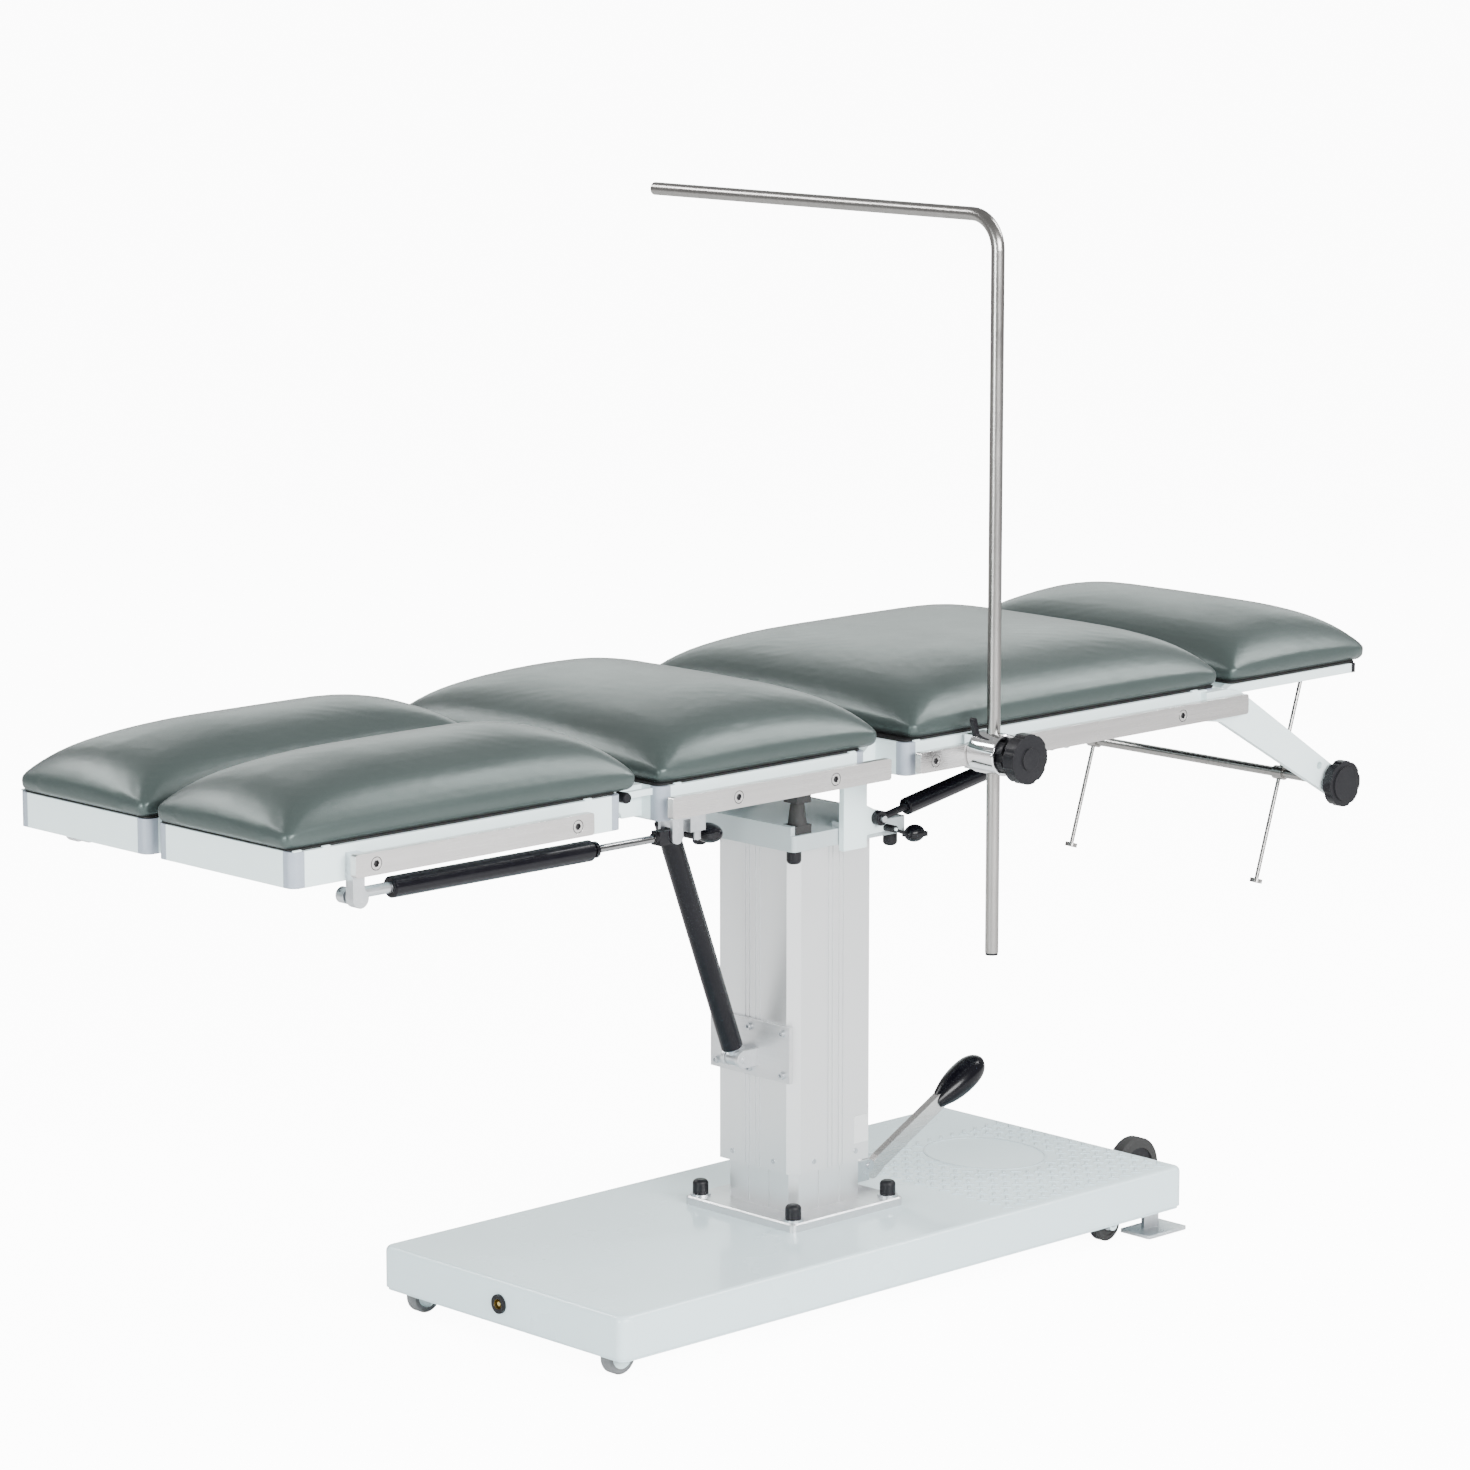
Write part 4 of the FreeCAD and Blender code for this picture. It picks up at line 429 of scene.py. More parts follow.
# Painted shade: near-black colour for the sunk rings and sockets of the rail screws, standing in for the shadow
# inside the thin grooves.
RECESS_SHADE = Finish("screw_recess_painted_shade", (0.06, 0.06, 0.062), (0.04, 0.04, 0.042), 0.4, 0.5, metallic=0.6, edge=0.0004)
LABEL = Finish("blank_label", (0.66, 0.67, 0.67), (0.61, 0.62, 0.62), 0.5, 0.6, blotch_size=0.05, edge=0.0002)
BRASS = Finish("plated_brass", (0.62, 0.50, 0.20), (0.45, 0.35, 0.12), 0.25, 0.4, metallic=1.0, blotch_size=0.01)
BOARD = Finish("black_board", (0.006, 0.006, 0.007), (0.01, 0.01, 0.01), 0.5, 0.65, specular=0.25,
               speck_depth=0.00004)
VINYL = Vinyl()

Mask = Callable[[np.ndarray, np.ndarray], np.ndarray]
RAIL_SCREW_Z = 754.0
RAIL_SCREW_RADIUS = 8.7


def dress(node: str, finish: Finish, second: Optional[Finish] = None, where: Optional[Mask] = None) -> None:
    """Give a CAD node its finish, and a second one to the faces that a test picks.

    Args:
        node: name of the node.
        finish: main finish.
        second: finish of the picked faces.
        where: test on face centres and face normals, both as (n, 3) arrays in millimetres and units.
    """
    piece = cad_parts[node]
    mesh = piece.data
    mesh.materials.clear()
    mesh.materials.append(finish.material())
    count = len(mesh.polygons)
    index = np.zeros(count, dtype=np.int32)
    if second is not None and where is not None:
        mesh.materials.append(second.material())
        centre = np.zeros(count * 3)
        normal = np.zeros(count * 3)
        mesh.polygons.foreach_get("center", centre)
        mesh.polygons.foreach_get("normal", normal)
        index = where(centre.reshape(-1, 3) / MM, normal.reshape(-1, 3)).astype(np.int32)
    mesh.polygons.foreach_set("material_index", index)
    LOG.info("dressed %s with %s", node, finish.name)


def within(x: tuple = (-2000, 2000), y: tuple = (-2000, 2000), z: tuple = (-2000, 2000)) -> Mask:
    """Test for faces whose centre lies in a box, in millimetres.

    Args:
        x: low and high X.
        y: low and high Y.
        z: low and high Z.

    Returns:
        The test.
    """
    low = np.array([x[0], y[0], z[0]])
    high = np.array([x[1], y[1], z[1]])
    return lambda centre, normal: np.all((centre > low) & (centre < high), axis=1)


def near_axis_y(x: float, z: float, radius: float) -> Mask:
    """Test for faces close to a line along Y.

    Args:
        x: line's X in millimetres.
        z: line's Z in millimetres.
        radius: largest distance in millimetres.

    Returns:
        The test.
    """
    return lambda centre, normal: np.hypot(centre[:, 0] - x, centre[:, 2] - z) < radius


def shaded_screw_rings(first: float, second: float) -> Mask:
    """Test for the faces sunk round and inside a rail's two screws. These faces are coloured near-black as painted
    shade in the grooves and sockets.

    Args:
        first: X of one screw in millimetres.
        second: X of the other screw.

    Returns:
        The test.
    """
    def sunk(centre: np.ndarray, normal: np.ndarray) -> np.ndarray:
        """Faces near a screw's axis and below the rail's outer face."""
        across = np.minimum(np.abs(centre[:, 0] - first), np.abs(centre[:, 0] - second))
        depth = np.abs(centre[:, 1])
        near_axis = np.hypot(across, centre[:, 2] - RAIL_SCREW_Z) < RAIL_SCREW_RADIUS
        return near_axis & (depth < 293.9) & (depth > 285.0)

    return sunk


def skin(name: str, grid: np.ndarray, material: bpy.types.Material, smooth: bool = True) -> bpy.types.Object:
    """Closed surface from a stack of rings, each end closed to its middle.

    Args:
        name: object and mesh name.
        grid: (rings, points, 3) array in metres, rings from bottom middle to top middle, points anticlockwise.
        material: material of the piece.
        smooth: whether faces are smooth.

    Returns:
        The linked object.
    """
    rings, points, _ = grid.shape
    ends = np.stack([grid[0].mean(axis=0), grid[-1].mean(axis=0)])
    vertices = np.concatenate([grid.reshape(-1, 3), ends])
    row = np.arange(rings - 1)[:, None] * points
    here = np.arange(points)[None, :]
    after = (here + 1) % points
    quads = np.stack([row + here, row + after, row + points + after, row + points + here], axis=-1).reshape(-1, 4)
    first = rings * points
    last = (rings - 1) * points
    ring_index = np.arange(points)
    ring_after = (ring_index + 1) % points
    bottom = np.stack([np.full(points, first), ring_after, ring_index], axis=-1)
    top = np.stack([np.full(points, first + 1), last + ring_index, last + ring_after], axis=-1)
    mesh = bpy.data.meshes.new(name)
    mesh.from_pydata(vertices.tolist(), [], quads.tolist() + bottom.tolist() + top.tolist())
    mesh.polygons.foreach_set("use_smooth", np.full(len(mesh.polygons), smooth))
    mesh.materials.append(material)
    mesh.update()
    made = bpy.data.objects.new(name, mesh)
    bpy.context.scene.collection.objects.link(made)
    return made


def rounded_rectangle(half_x: float, half_y: float, radius: float, count: int) -> np.ndarray:
    """Points round a rectangle with round corners, even in angle on a superellipse-like path.

    Each point is the corner's arc centre plus the arc's radius times its direction, joined by straight runs that
    are cut in even steps.

    Args:
        half_x: half length along X.
        half_y: half length along Y.
        radius: corner radius.
        count: points per quarter.

    Returns:
        (n, 2) array, anticlockwise.
    """
    arc = np.linspace(0, np.pi / 2, 9)
    runs = []
    for turn in range(4):
        reach_x, reach_y = (half_x, half_y) if turn % 2 == 0 else (half_y, half_x)
        straight = np.linspace(-reach_y + radius, reach_y - radius, count)[1:-1]
        side = np.stack([np.full(count - 2, reach_x), straight], axis=1)
        corner = np.stack([reach_x - radius + radius * np.cos(arc), reach_y - radius + radius * np.sin(arc)], axis=1)
        run = np.concatenate([side, corner])
        angle = turn * np.pi / 2
        spin = np.array([[np.cos(angle), np.sin(angle)], [-np.sin(angle), np.cos(angle)]])
        runs.append(run @ spin)
    return np.concatenate(runs)


def bar(name: str, low: tuple, high: tuple, finish: Finish, radius: float = 1.5) -> bpy.types.Object:
    """Straight upright bar with rounded corners and softened top and bottom edges, in millimetres.

    Args:
        name: object name.
        low: lowest corner.
        high: highest corner.
        finish: finish of the bar.
        radius: radius of the upright edges.

    Returns:
        The piece.
    """
    first = np.array(low, dtype=float)
    last = np.array(high, dtype=float)
    middle = (first + last)[:2] / 2
    half = (last - first)[:2] / 2
    soft = min(0.4, (last[2] - first[2]) / 4)
    layers = []
    for draw, level in ((soft, first[2]), (0.0, first[2] + soft), (0.0, last[2] - soft), (soft, last[2])):
        rim = rounded_rectangle(half[0] - draw, half[1] - draw, radius, 4)
        layers.append(np.column_stack([rim + middle, np.full(len(rim), level)]))
    return skin(name, np.stack(layers) * MM, finish.material(), smooth=False)


def disc_y(name: str, centre: tuple, radius: float, length: float, finish: Finish) -> bpy.types.Object:
    """Short round piece along Y with softened rims, in millimetres.

    Args:
        name: object name.
        centre: middle of the piece.
        radius: radius.
        length: length along Y.
        finish: finish of the piece.

    Returns:
        The piece.
    """
    turn = np.linspace(0, 2 * np.pi, 40, endpoint=False)
    layers = []
    for draw, share in ((1.0, 0.5), (0.0, 0.4), (0.0, -0.4), (1.0, -0.5)):
        reach = radius - draw
        layers.append(np.column_stack([centre[0] + reach * np.cos(turn), np.full(40, centre[1] + share * length),
                                       centre[2] + reach * np.sin(turn)]))
    return skin(name, np.stack(layers) * MM, finish.material(), smooth=False)


def egg(name: str, centre: tuple, reach: tuple, finish: Finish) -> bpy.types.Object:
    """Smooth ellipsoid in millimetres: level rings, as wide as a tilt's cosine and as high as its sine.

    Args:
        name: object name.
        centre: middle of the piece.
        reach: half sizes along X, Y and Z.
        finish: finish of the piece.

    Returns:
        The piece.
    """
    turn = np.linspace(0, 2 * np.pi, 32, endpoint=False)
    layers = []
    for tilt in np.linspace(-0.48 * np.pi, 0.48 * np.pi, 15):
        wide = np.cos(tilt)
        layers.append(np.column_stack([centre[0] + reach[0] * wide * np.cos(turn),
                                       centre[1] + reach[1] * wide * np.sin(turn),
                                       np.full(32, centre[2] + reach[2] * np.sin(tilt))]))
    return skin(name, np.stack(layers) * MM, finish.material())


@dataclass
class Cushion:
    """One padded section: a black board with a crowned, stuffed cushion on it.

    Lengths are in millimetres in the frame's axes.
    """

    node: str
    body: str
    x: tuple
    y: tuple
    board_x: tuple
    base: float = 779.6
    wall: float = 9.0
    wall_corner: float = 7.0
    round_high: float = 43.0
    round_corner: float = 15.0
    round_wide: float = 76.0
    corner_run: float = 60.0
    crown: float = 85.0
    slope_foot: float = 215.0
    slope_head: float = 165.0
    slope_side: float = 155.0
    belly: float = 3.0
    corner: float = 9.0
    miter: float = 9.0
    cap: float = 5.0
    voxel: float = 6.0
    held_rise: float = 7.0
    stretch: float = 25.0
    bending: float = 30.0
    pressure: float = 1.0
    frames: int = 8

    def drawn(self, low: float, high: float, along: np.ndarray) -> np.ndarray:
        """A rim size that the cover pulls down towards the corners.

        The low value plus the rest times one minus a falling exponential of the distance from the corner.

        Args:
            low: value at a corner.
            high: value far from the corners.
            along: distance along the rim from the nearest corner.

        Returns:
            Values.
        """
        return low + (high - low) * (1.0 - np.exp(-along / self.corner_run))

    def arch(self, distance: np.ndarray, along: np.ndarray, reach: float) -> np.ndarray:
        """Height of the cushion by the distance from an edge.

        The wall's height, plus a quarter circle over the rounding's width, plus the rest of the crown times a
        smooth rise over the reach.

        Args:
            distance: distance from the edge.
            along: distance along that edge from the nearest corner.
            reach: distance at which the crown is reached.

        Returns:
            Heights.
        """
        wall = self.drawn(self.wall_corner, self.wall, along)
        high = self.drawn(self.round_corner, self.round_high, along)
        near = 1.0 - np.clip(distance / self.round_wide, 0.0, 1.0)
        far = 1.0 - np.clip(distance / reach, 0.0, 1.0)
        rest = self.crown - wall - high
        return wall + high * np.sqrt(1.0 - near * near) + rest * (1.0 - np.power(far, 1.8))

    def height(self, x: np.ndarray, y: np.ndarray) -> np.ndarray:
        """Height over the board: a smooth minimum of the arches, so that soft ridges run in from the corners.

        Args:
            x: X of the points.
            y: Y of the points.

        Returns:
            Heights.
        """
        from_foot = np.maximum(x - self.x[0], 0.0)
        from_head = np.maximum(self.x[1] - x, 0.0)
        from_end = np.minimum(from_foot, from_head)
        from_side = np.maximum(np.minimum(y - self.y[0], self.y[1] - y), 0.0)
        foot = self.arch(from_foot, from_side, self.slope_foot)
        head = self.arch(from_head, from_side, self.slope_head)
        across = self.arch(from_side, from_end, min(self.slope_side, (self.y[1] - self.y[0]) / 2))
        power = self.miter
        mixed = foot ** -power + head ** -power + across ** -power - 2.0 * self.crown ** -power
        return mixed ** (-1.0 / power)

    def rings(self, inset: float) -> np.ndarray:
        """Rings from the bottom's middle, round the belly, to the top's middle.

        Args:
            inset: distance by which the whole form is drawn in.

        Returns:
            (rings, points, 3) array in millimetres.
        """
        middle = np.array([sum(self.x) / 2, sum(self.y) / 2])
        half = np.array([(self.x[1] - self.x[0]) / 2, (self.y[1] - self.y[0]) / 2]) - inset - self.belly
        rim = rounded_rectangle(half[0], half[1], self.corner, 40)
        outward = rim / np.linalg.norm(rim, axis=1, keepdims=True)
        pull = np.minimum(1.0, np.minimum(np.abs(half[0] - np.abs(rim[:, 0])) + np.abs(half[1] - np.abs(rim[:, 1])),
                                          60.0) / 60.0)
        layers = []
        for share in np.linspace(0.04, 0.96, 10):
            flat = rim * share
            layers.append(np.column_stack([flat + middle, np.full(len(flat), self.base)]))
        turn = np.linspace(-0.5 * np.pi, 0.5 * np.pi, 9)
        rim_height = self.height(*(rim + middle).T)
        for angle in turn:
            swell = (self.belly + 2.0) * np.cos(angle) * (0.35 + 0.65 * pull) * (angle < 0) + (angle >= 0) * (
                self.belly + 2.0) * (0.35 + 0.65 * pull)
            level = 0.5 + 0.5 * np.sin(angle)
            place = rim + outward * (swell - self.belly - 2.0)[:, None]
            layers.append(np.column_stack([place + middle, self.base + 1.0 + level * (rim_height - 2.0)]))
        fine = 1.0 - np.square(np.linspace(0.05, 0.5, 12))
        for share in np.concatenate([fine, np.linspace(0.72, 0.0, 26)[:-1]]):
            flat = rim * share + middle
            layers.append(np.column_stack([flat, self.base + self.height(flat[:, 0], flat[:, 1])]))
        return np.stack(layers)

    def stuff(self, piece: bpy.types.Object) -> None:
        """Swell the cover with a short cloth run and keep what it gives.

        Args:
            piece: cushion before the run.
        """
        remesh = piece.modifiers.new("even_mesh", "REMESH")
        remesh.mode = "VOXEL"
        remesh.voxel_size = self.voxel * MM
        self.apply(piece)
        mesh = piece.data
        before = np.zeros(len(mesh.vertices) * 3)
        mesh.vertices.foreach_get("co", before)
        start = before.reshape(-1, 3)
        held = piece.vertex_groups.new(name="held")
        low = np.nonzero(start[:, 2] < (self.base + self.held_rise) * MM)[0]
        held.add(low.tolist(), 1.0, "REPLACE")
        cloth = piece.modifiers.new("cover", "CLOTH")
        cloth.settings.quality = 6
        cloth.settings.mass = 0.25
        cloth.settings.tension_stiffness = self.stretch
        cloth.settings.compression_stiffness = self.stretch
        cloth.settings.bending_stiffness = self.bending
        cloth.settings.use_pressure = True
        cloth.settings.uniform_pressure_force = self.pressure
        cloth.settings.vertex_group_mass = "held"
        cloth.settings.effector_weights.gravity = 0.0
        cloth.point_cache.frame_start = 1
        cloth.point_cache.frame_end = 20
        scene = bpy.context.scene
        for frame in range(1, self.frames + 1):
            scene.frame_set(frame)
        self.apply(piece)
        scene.frame_set(1)
        moved = np.zeros(len(piece.data.vertices) * 3)
        piece.data.vertices.foreach_get("co", moved)
        shift = moved.reshape(-1, 3) - start
        length = np.linalg.norm(shift, axis=1, keepdims=True)
        limit = self.cap * MM
        shift *= np.minimum(1.0, limit / np.maximum(length, 1e-9))
        start = start + shift
        start = self.tucks(start)
        piece.data.vertices.foreach_set("co", start.ravel())
        smooth = piece.modifiers.new("fine_cover", "SUBSURF")
        smooth.levels = 1
        smooth.render_levels = 1
        self.apply(piece)
        piece.data.polygons.foreach_set("use_smooth", np.full(len(piece.data.polygons), True))

    def tucks(self, points: np.ndarray) -> np.ndarray:
        """Small folds where the cover is drawn in at the corners.

        A fold lowers the surface by a bell of the angle about its line times a fall with the distance from the
        corner. Two faint folds stand on each side of the ridge.

        Args:
            points: (n, 3) array in metres.

        Returns:
            Moved points.
        """
        moved = points.copy()
        for corner_x, way_x in ((self.x[0], 1.0), (self.x[1], -1.0)):
            for corner_y, way_y in ((self.y[0], 1.0), (self.y[1], -1.0)):
                dx = (points[:, 0] / MM - corner_x) * way_x
                dy = (points[:, 1] / MM - corner_y) * way_y
                reach = np.hypot(dx, dy)
                angle = np.arctan2(dy, np.maximum(dx, 1e-6))
                fall = np.exp(-np.square((reach - 26.0) / 30.0)) * (points[:, 2] / MM > self.base + 14.0)
                fold = 0.9 * np.exp(-np.square((angle - 0.50) / 0.07))
                fold += 0.8 * np.exp(-np.square((angle - 1.08) / 0.08))
                fold += 0.5 * np.exp(-np.square((angle - 0.27) / 0.05))
                moved[:, 2] -= fold * fall * MM
        return moved

    def apply(self, piece: bpy.types.Object) -> None:
        """Replace the mesh by the modified one and drop the modifiers.

        Args:
            piece: object whose modifiers are applied.
        """
        graph = bpy.context.evaluated_depsgraph_get()
        graph.update()
        done = bpy.data.meshes.new_from_object(piece.evaluated_get(graph))
        piece.modifiers.clear()
        piece.data = done

    def board(self) -> bpy.types.Object:
        """Thin black board under the cushion, its rim a shallow round.

        Rings follow a rounded rectangle drawn in by a quarter-round at the top and bottom edge.

        Returns:
            The board.
        """
        middle = np.array([sum(self.board_x) / 2, sum(self.y) / 2])
        half_x = (self.board_x[1] - self.board_x[0]) / 2
        half_y = (self.y[1] - self.y[0]) / 2 - 5.0
        layers = []
        for draw, level in ((40.0, 778.1), (1.0, 778.1), (0.0, 778.5), (0.0, 780.6), (1.0, 781.0), (40.0, 781.0)):
            rim = rounded_rectangle(half_x - draw, half_y - draw, 10.0, 6)
            layers.append(np.column_stack([rim + middle, np.full(len(rim), level)]))
        return skin(self.node + "_board", np.stack(layers) * MM, BOARD.material(), smooth=False)

    def build(self) -> None:
        """Make the cushion and its board and hang them on their body."""
        piece = skin(self.node + "_cover", self.rings(1.0) * MM, VINYL.material())
        self.stuff(piece)
        piece.data.materials.clear()
        piece.data.materials.append(VINYL.material())
        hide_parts(self.node)
        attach(piece, self.body)
        board = self.board()
        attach(board, self.body)
        LOG.info("cushion %s with %d faces", self.node, len(piece.data.polygons))


@dataclass
class Padding:
    """All the cushions of the table top."""

    half_width: float = 270.0
    split: float = 6.0

    def build(self) -> None:
        """Make the five cushions."""
        wide = (-self.half_width, self.half_width)
        Cushion("leg_cushion_near", "leg_near", (-1103.0, -528.0), (-self.half_width, -self.split),
                (-1090.0, -570.0)).build()
        Cushion("leg_cushion_far", "leg_far", (-1103.0, -528.0), (self.split, self.half_width),
                (-1090.0, -570.0)).build()
        Cushion("seat_cushion", "seat", (-502.0, -98.0), wide, (-500.0, -138.0)).build()
        Cushion("back_cushion", "back", (-50.0, 575.0), wide, (-58.0, 560.0)).build()
        Cushion("head_cushion", "head", (590.0, 895.0), wide, (592.0, 866.0)).build()


@dataclass
class Base:
    """Slab, column plate, socket and running gear."""

    wheel_hub: float = 17.0

    def dress(self) -> None:
        """Finish the base's nodes."""
        dress("base_slab", MOULDED, TREAD, within(z=(90.05, 95.0)))
        dress("bonding_socket", BLACK, BRASS, lambda c, n: np.hypot(c[:, 1], c[:, 2] - 58.5) < 8.0)
        dress("column_plate", PLATE)
        dress("plate_caps", BLACK, ZINC, within(z=(101.0, 105.4)))
        dress("column_inner", PROFILE)
        dress("lever_bracket", ZINC)
        dress("transport_bracket", ZINC)
        dress("foot_pedal", ZINC)
        for side, y in (("near", -192.0), ("far", 192.0)):
            dress("foot_fork_" + side, ZINC)
            dress("foot_wheel_" + side, GREY_WHEEL, POWDER, near_axis_y(-506.0, 25.0, self.wheel_hub))
        dress("head_wheels", RUBBER, ZINC, near_axis_y(410.0, 25.0, 9.5))
        dress("transport_wheel", RUBBER, BLACK, near_axis_y(606.0, 45.0, 30.0))


@dataclass
class Column:
    """Sleeve, tray, stops, tilt yoke and tilt spring."""

    def dress(self) -> None:
        """Finish the column's nodes."""
        dress("column_outer", PROFILE)
        dress("column_screws", ZINC)
        dress("anchor_plate", PLATE)
        # The tray gets the darker copy of the powder coat, which is painted shade.
        dress("column_head", POWDER_SHADED)
        dress("head_caps", BLACK)
        dress("rubber_stops", RUBBER)
        dress("tilt_yoke", POWDER, ZINC, near_axis_y(38.0, 644.0, 10.2))
        dress("tilt_cylinder", GLOSS_BLACK, ZINC, lambda c, n: c[:, 2] < 334.0)
        dress("tilt_rod", GLOSS_BLACK)
        dress("pump_lever", RAIL)
        dress("lever_grip", GLOSS_BLACK)


@dataclass
class Top:
    """Frames, rails, springs, head support and screen bar."""

    def dress(self) -> None:
        """Finish the top's nodes."""
        for side in ("near", "far"):
            dress("leg_frame_" + side, POWDER, ZINC, lambda c, n: (c[:, 0] < -985.0) & (c[:, 0] > -1015.0) & (
                (c[:, 2] < 733.5) | (np.abs(c[:, 1]) > 270.2)))
            dress("leg_corners_" + side, GREY_CAP)
            dress("leg_rail_" + side, RAIL, RECESS_SHADE, shaded_screw_rings(-984.0, -662.0))
            dress("leg_cylinder_" + side, GLOSS_BLACK, ZINC, lambda c, n: c[:, 0] < -933.0)
            dress("leg_rod_" + side, STEEL, BLACK, lambda c, n: c[:, 0] > -505.0)
            dress("leg_paddle_" + side, BLACK)
        dress("seat_frame", POWDER, BLACK, lambda c, n: np.hypot(c[:, 0] + 563.0, c[:, 2] - 771.0) < 10.6)
        dress("seat_corners", GREY_CAP)
        dress("seat_rails", RAIL, RECESS_SHADE, shaded_screw_rings(-388.0, -215.0))
        dress("spring_brackets", ZINC)
        dress("back_frame", POWDER)
        dress("back_corners", GREY_CAP)
        dress("back_rails", RAIL, RECESS_SHADE, shaded_screw_rings(-30.0, 459.0))
        dress("head_arms", POWDER)
        dress("back_cylinder", GLOSS_BLACK, BLACK, lambda c, n: c[:, 0] < 80.0)
        dress("back_rod", STEEL)
        dress("back_paddle", BLACK)
        dress("head_frame", POWDER, BLACK, within(x=(851.5, 870.0)))
        dress("head_rods", TUBE)
        dress("head_spindle", TUBE)
        dress("spindle_knob", BLACK)
        dress("screen_bar", TUBE, BLACK, within(z=(470.0, 487.9)))
        dress("rail_clamp", CHROME, BLACK, lambda c, n: (c[:, 2] > 785.4) & (c[:, 0] < 44.0))
        dress("clamp_knob", BLACK, CHROME, within(x=(47.4, 60.6), y=(-365.9, -351.6), z=(750.4, 763.6)))


@dataclass
class Trim:
    """Small parts that finish the frames: leg hinge caps, plugs, clips, paddle pads and the column's bare label.

    Lengths are in millimetres in the frame's axes.
    """

    edge: float = 270.0
    top: float = 778.0
    clips: tuple = (("leg_near", -1, (-1083.0, -1039.0, -622.0)), ("leg_far", 1, (-1083.0, -1039.0, -622.0)),
                    ("seat", -1, (-470.0, -160.0)), ("seat", 1, (-470.0, -160.0)),
                    ("back", -1, (-40.0, 512.0)), ("back", 1, (-40.0, 512.0)))
    hinge_x: float = -555.0
    hinge_z: float = 771.0
    hinge_cap: tuple = (7.0, 22.0)
    hinge_arm_x: tuple = (-551.0, -499.0)
    hinge_arm_y: tuple = (249.0, 256.0)
    hinge_arm_z: tuple = (767.0, 775.5)
    leg_pad: tuple = (15.0, 22.0, 13.0)
    back_pad: tuple = (16.0, 13.0, 12.0)

    def build(self) -> None:
        """Make the pieces and hang them on their bodies."""
        for count, (body, side, places) in enumerate(self.clips):
            outer = side * (self.edge - 0.6)
            inner = side * (self.edge - 4.8)
            for place in places:
                piece = bar(f"clip_{count}_{int(abs(place))}", (place - 6.0, min(outer, inner), self.top - 0.1),
                            (place + 6.0, max(outer, inner), self.top + 2.0), POWDER, 0.8)
                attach(piece, body)
        for side, name in ((-1, "near"), (1, "far")):
            cap = disc_y("hinge_cap_" + name, (self.hinge_x, side * 257.0, self.hinge_z), *self.hinge_cap, BLACK)
            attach(cap, "seat")
            inner, outer = sorted(side * y for y in self.hinge_arm_y)
            arm = bar("hinge_arm_" + name, (self.hinge_arm_x[0], inner, self.hinge_arm_z[0]),
                      (self.hinge_arm_x[1], outer, self.hinge_arm_z[1]), POWDER, 1.0)
            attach(arm, "seat")
            plug = bar("head_plug_" + name, (851.0, min(side * 255.6, side * 268.4), 764.6),
                       (860.6, max(side * 255.6, side * 268.4), 778.4), BLACK, 1.6)
            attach(plug, "head")
            grip = egg("leg_paddle_grip_" + name, (-404.5, side * 255.0, 705.0), self.leg_pad, GLOSS_BLACK)
            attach(grip, "leg_release_" + name)
        grip = egg("back_paddle_grip", (106.0, -123.5, 614.0), self.back_pad, GLOSS_BLACK)
        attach(grip, "back_release")
        label = bar("column_label", (37.0, -79.5, 183.0), (64.5, -78.6, 222.0), LABEL, 0.3)
        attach(label, "lift")


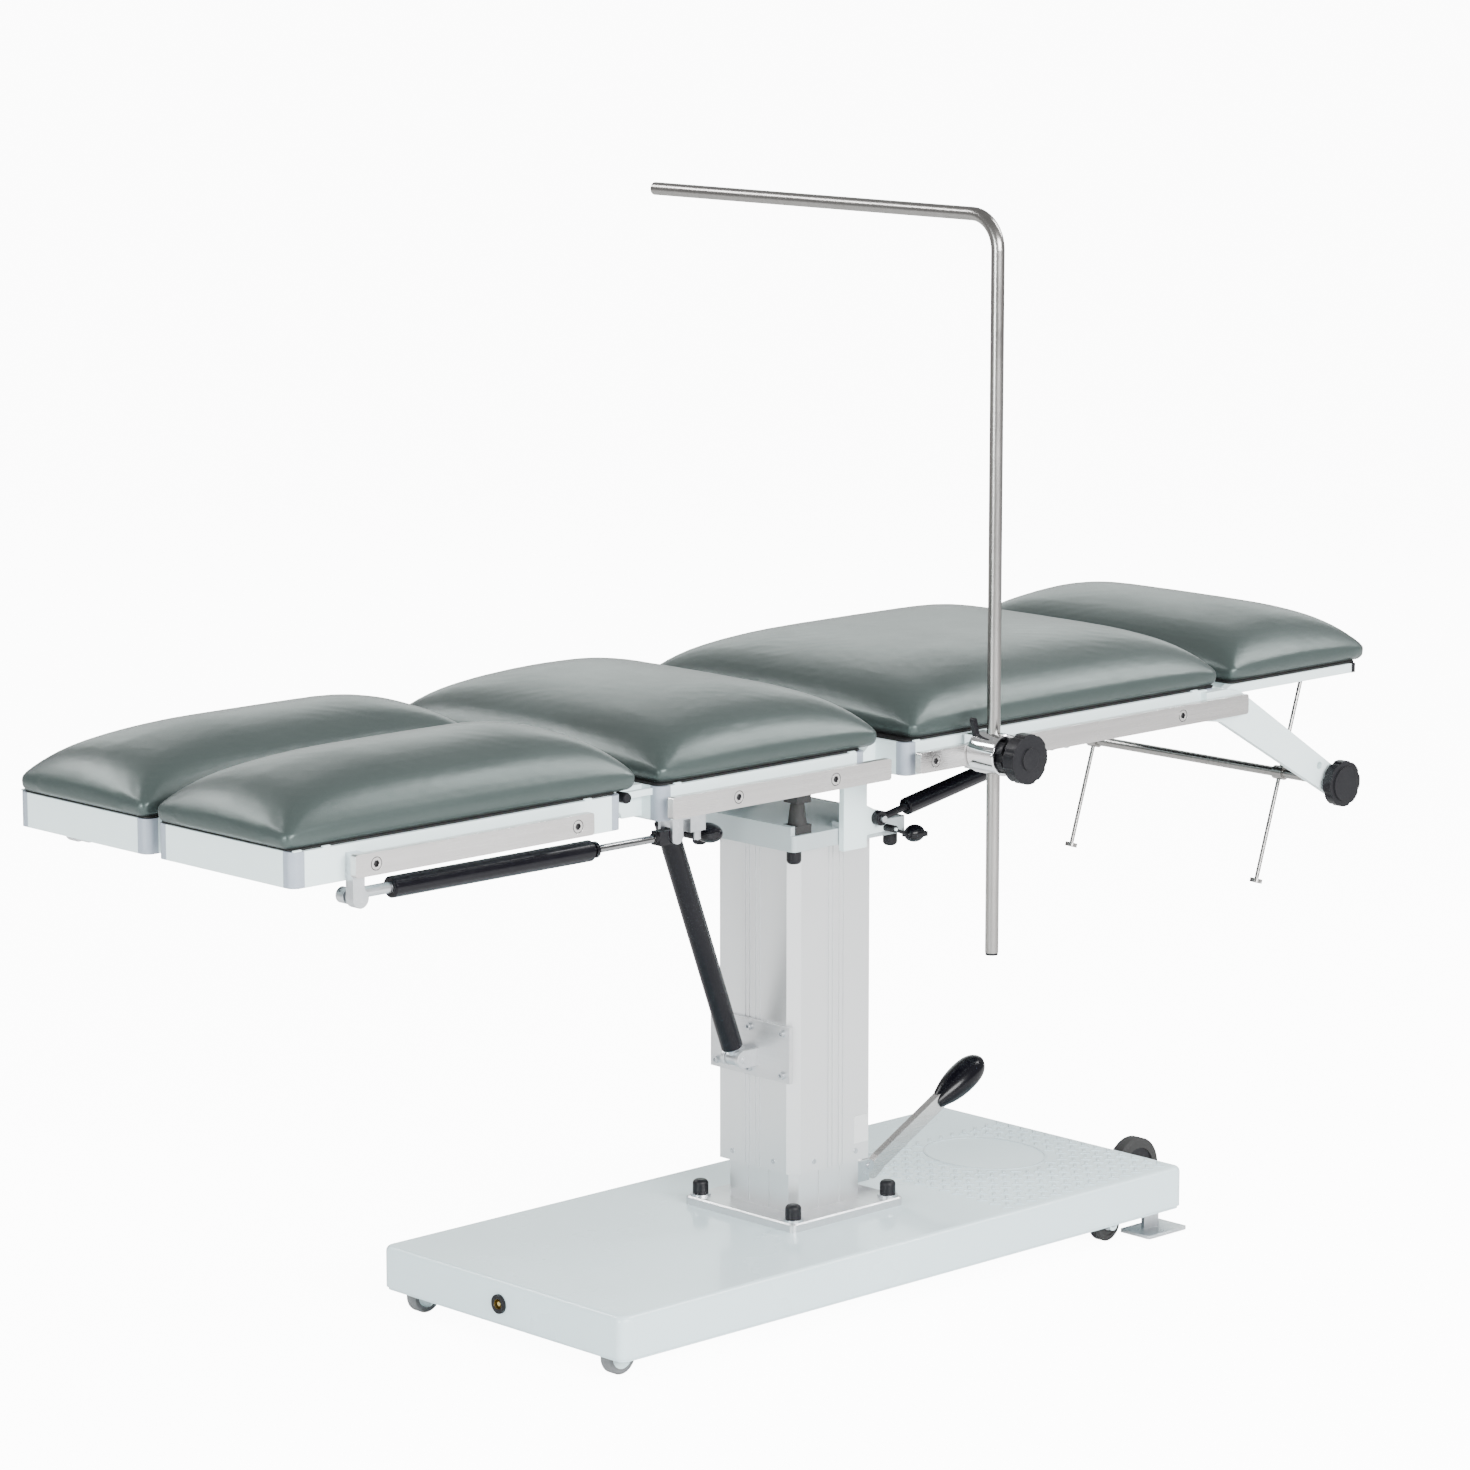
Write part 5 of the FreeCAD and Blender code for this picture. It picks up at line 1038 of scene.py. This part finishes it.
@dataclass
class Studio:
    """Pale floor, soft light and the camera at the photograph's angle."""

    lens: float = 126.77
    azimuth: float = -43.857
    elevation: float = 10.304
    place: tuple = (-4.8388, -4.9185, 2.0006)
    reach: float = 90.0
    glow: float = 11.0
    ambient: float = 0.42

    def floor(self) -> None:
        """Large pale floor, a flat grid that looks a little brighter to the camera than its light alone."""
        cells = 12
        side = np.linspace(-self.reach, self.reach, cells + 1)
        x, y = np.meshgrid(side, side)
        points = np.column_stack([x.ravel(), y.ravel(), np.full(x.size, -0.0005)])
        row = np.arange(cells)[:, None] * (cells + 1)
        here = np.arange(cells)[None, :]
        corner = row + here
        quads = np.stack([corner, corner + 1, corner + cells + 2, corner + cells + 1], axis=-1).reshape(-1, 4)
        mesh = bpy.data.meshes.new("studio_floor")
        mesh.from_pydata(points.tolist(), [], quads.tolist())
        made = bpy.data.materials.new("studio_floor")
        made.use_nodes = True
        bench = Bench(made.node_tree)
        shader = made.node_tree.nodes["Principled BSDF"]
        shader.inputs["Base Color"].default_value = (0.93, 0.93, 0.93, 1.0)
        shader.inputs["Roughness"].default_value = 0.9
        shader.inputs["Specular IOR Level"].default_value = 0.1
        shader.inputs["Emission Color"].default_value = (1.0, 1.0, 1.0, 1.0)
        seen = bench.add("ShaderNodeLightPath").outputs["Is Camera Ray"]
        bench.feed(shader.inputs["Emission Strength"], bench.math("MULTIPLY", seen, self.glow))
        mesh.materials.append(made)
        piece = bpy.data.objects.new("studio_floor", mesh)
        bpy.context.scene.collection.objects.link(piece)

    def lamp(self, name: str, place: tuple, aim: tuple, size: tuple, power: float,
             tint: tuple = (1.0, 1.0, 1.0)) -> None:
        """Rectangular soft light aimed at a point.

        Args:
            name: light name.
            place: position in metres.
            aim: point it faces.
            size: width and height.
            power: power in watts.
            tint: colour of the light.
        """
        data = bpy.data.lights.new(name, "AREA")
        data.color = tint
        data.shape = "RECTANGLE"
        data.size, data.size_y = size
        data.energy = power
        lamp = bpy.data.objects.new(name, data)
        way = np.array(aim) - np.array(place)
        flat = math.hypot(way[0], way[1])
        lamp.rotation_euler = (math.atan2(flat, -way[2]), 0.0, math.atan2(-way[0], way[1]))
        lamp.location = place
        bpy.context.scene.collection.objects.link(lamp)

    def build(self) -> None:
        """Set floor, world, lights and camera."""
        self.floor()
        world = bpy.data.worlds.new("studio")
        world.use_nodes = True
        world.node_tree.nodes["Background"].inputs["Color"].default_value = (1.0, 1.0, 1.0, 1.0)
        world.node_tree.nodes["Background"].inputs["Strength"].default_value = self.ambient
        bpy.context.scene.world = world
        self.lamp("head_key", (3.2, -1.6, 3.9), (0.0, 0.0, 0.8), (0.6, 2.6), 170.0)
        self.lamp("far_key", (-2.0, 3.5, 3.8), (-0.5, 0.0, 0.8), (2.6, 0.6), 115.0)
        self.lamp("backdrop", (4.9, 4.9, 3.1), (0.0, 0.0, 1.0), (7.0, 2.4), 126.0, (0.90, 1.0, 0.975))
        self.lamp("near_side", (-1.0, -5.2, 2.4), (0.0, 0.0, 0.6), (4.0, 1.6), 640.0)
        self.lamp("foot_side", (-5.4, -0.6, 1.3), (-0.4, 0.0, 0.7), (1.6, 1.0), 215.0, (0.95, 1.0, 1.0))
        data = bpy.data.cameras.new("photo_camera")
        data.lens = self.lens
        data.sensor_width = 36.0
        data.sensor_fit = "HORIZONTAL"
        data.clip_end = 300.0
        camera = bpy.data.objects.new("photo_camera", data)
        camera.location = self.place
        camera.rotation_euler = (math.radians(90.0 - self.elevation), 0.0, math.radians(self.azimuth))
        bpy.context.scene.collection.objects.link(camera)
        bpy.context.scene.camera = camera


def main() -> None:
    """Dress the frame's nodes, add the cushions and set the studio."""
    logging.basicConfig(level=logging.INFO, format="%(message)s")
    Base().dress()
    Column().dress()
    Top().dress()
    Padding().build()
    Trim().build()
    Studio().build()


if __name__ == "__main__":
    main()
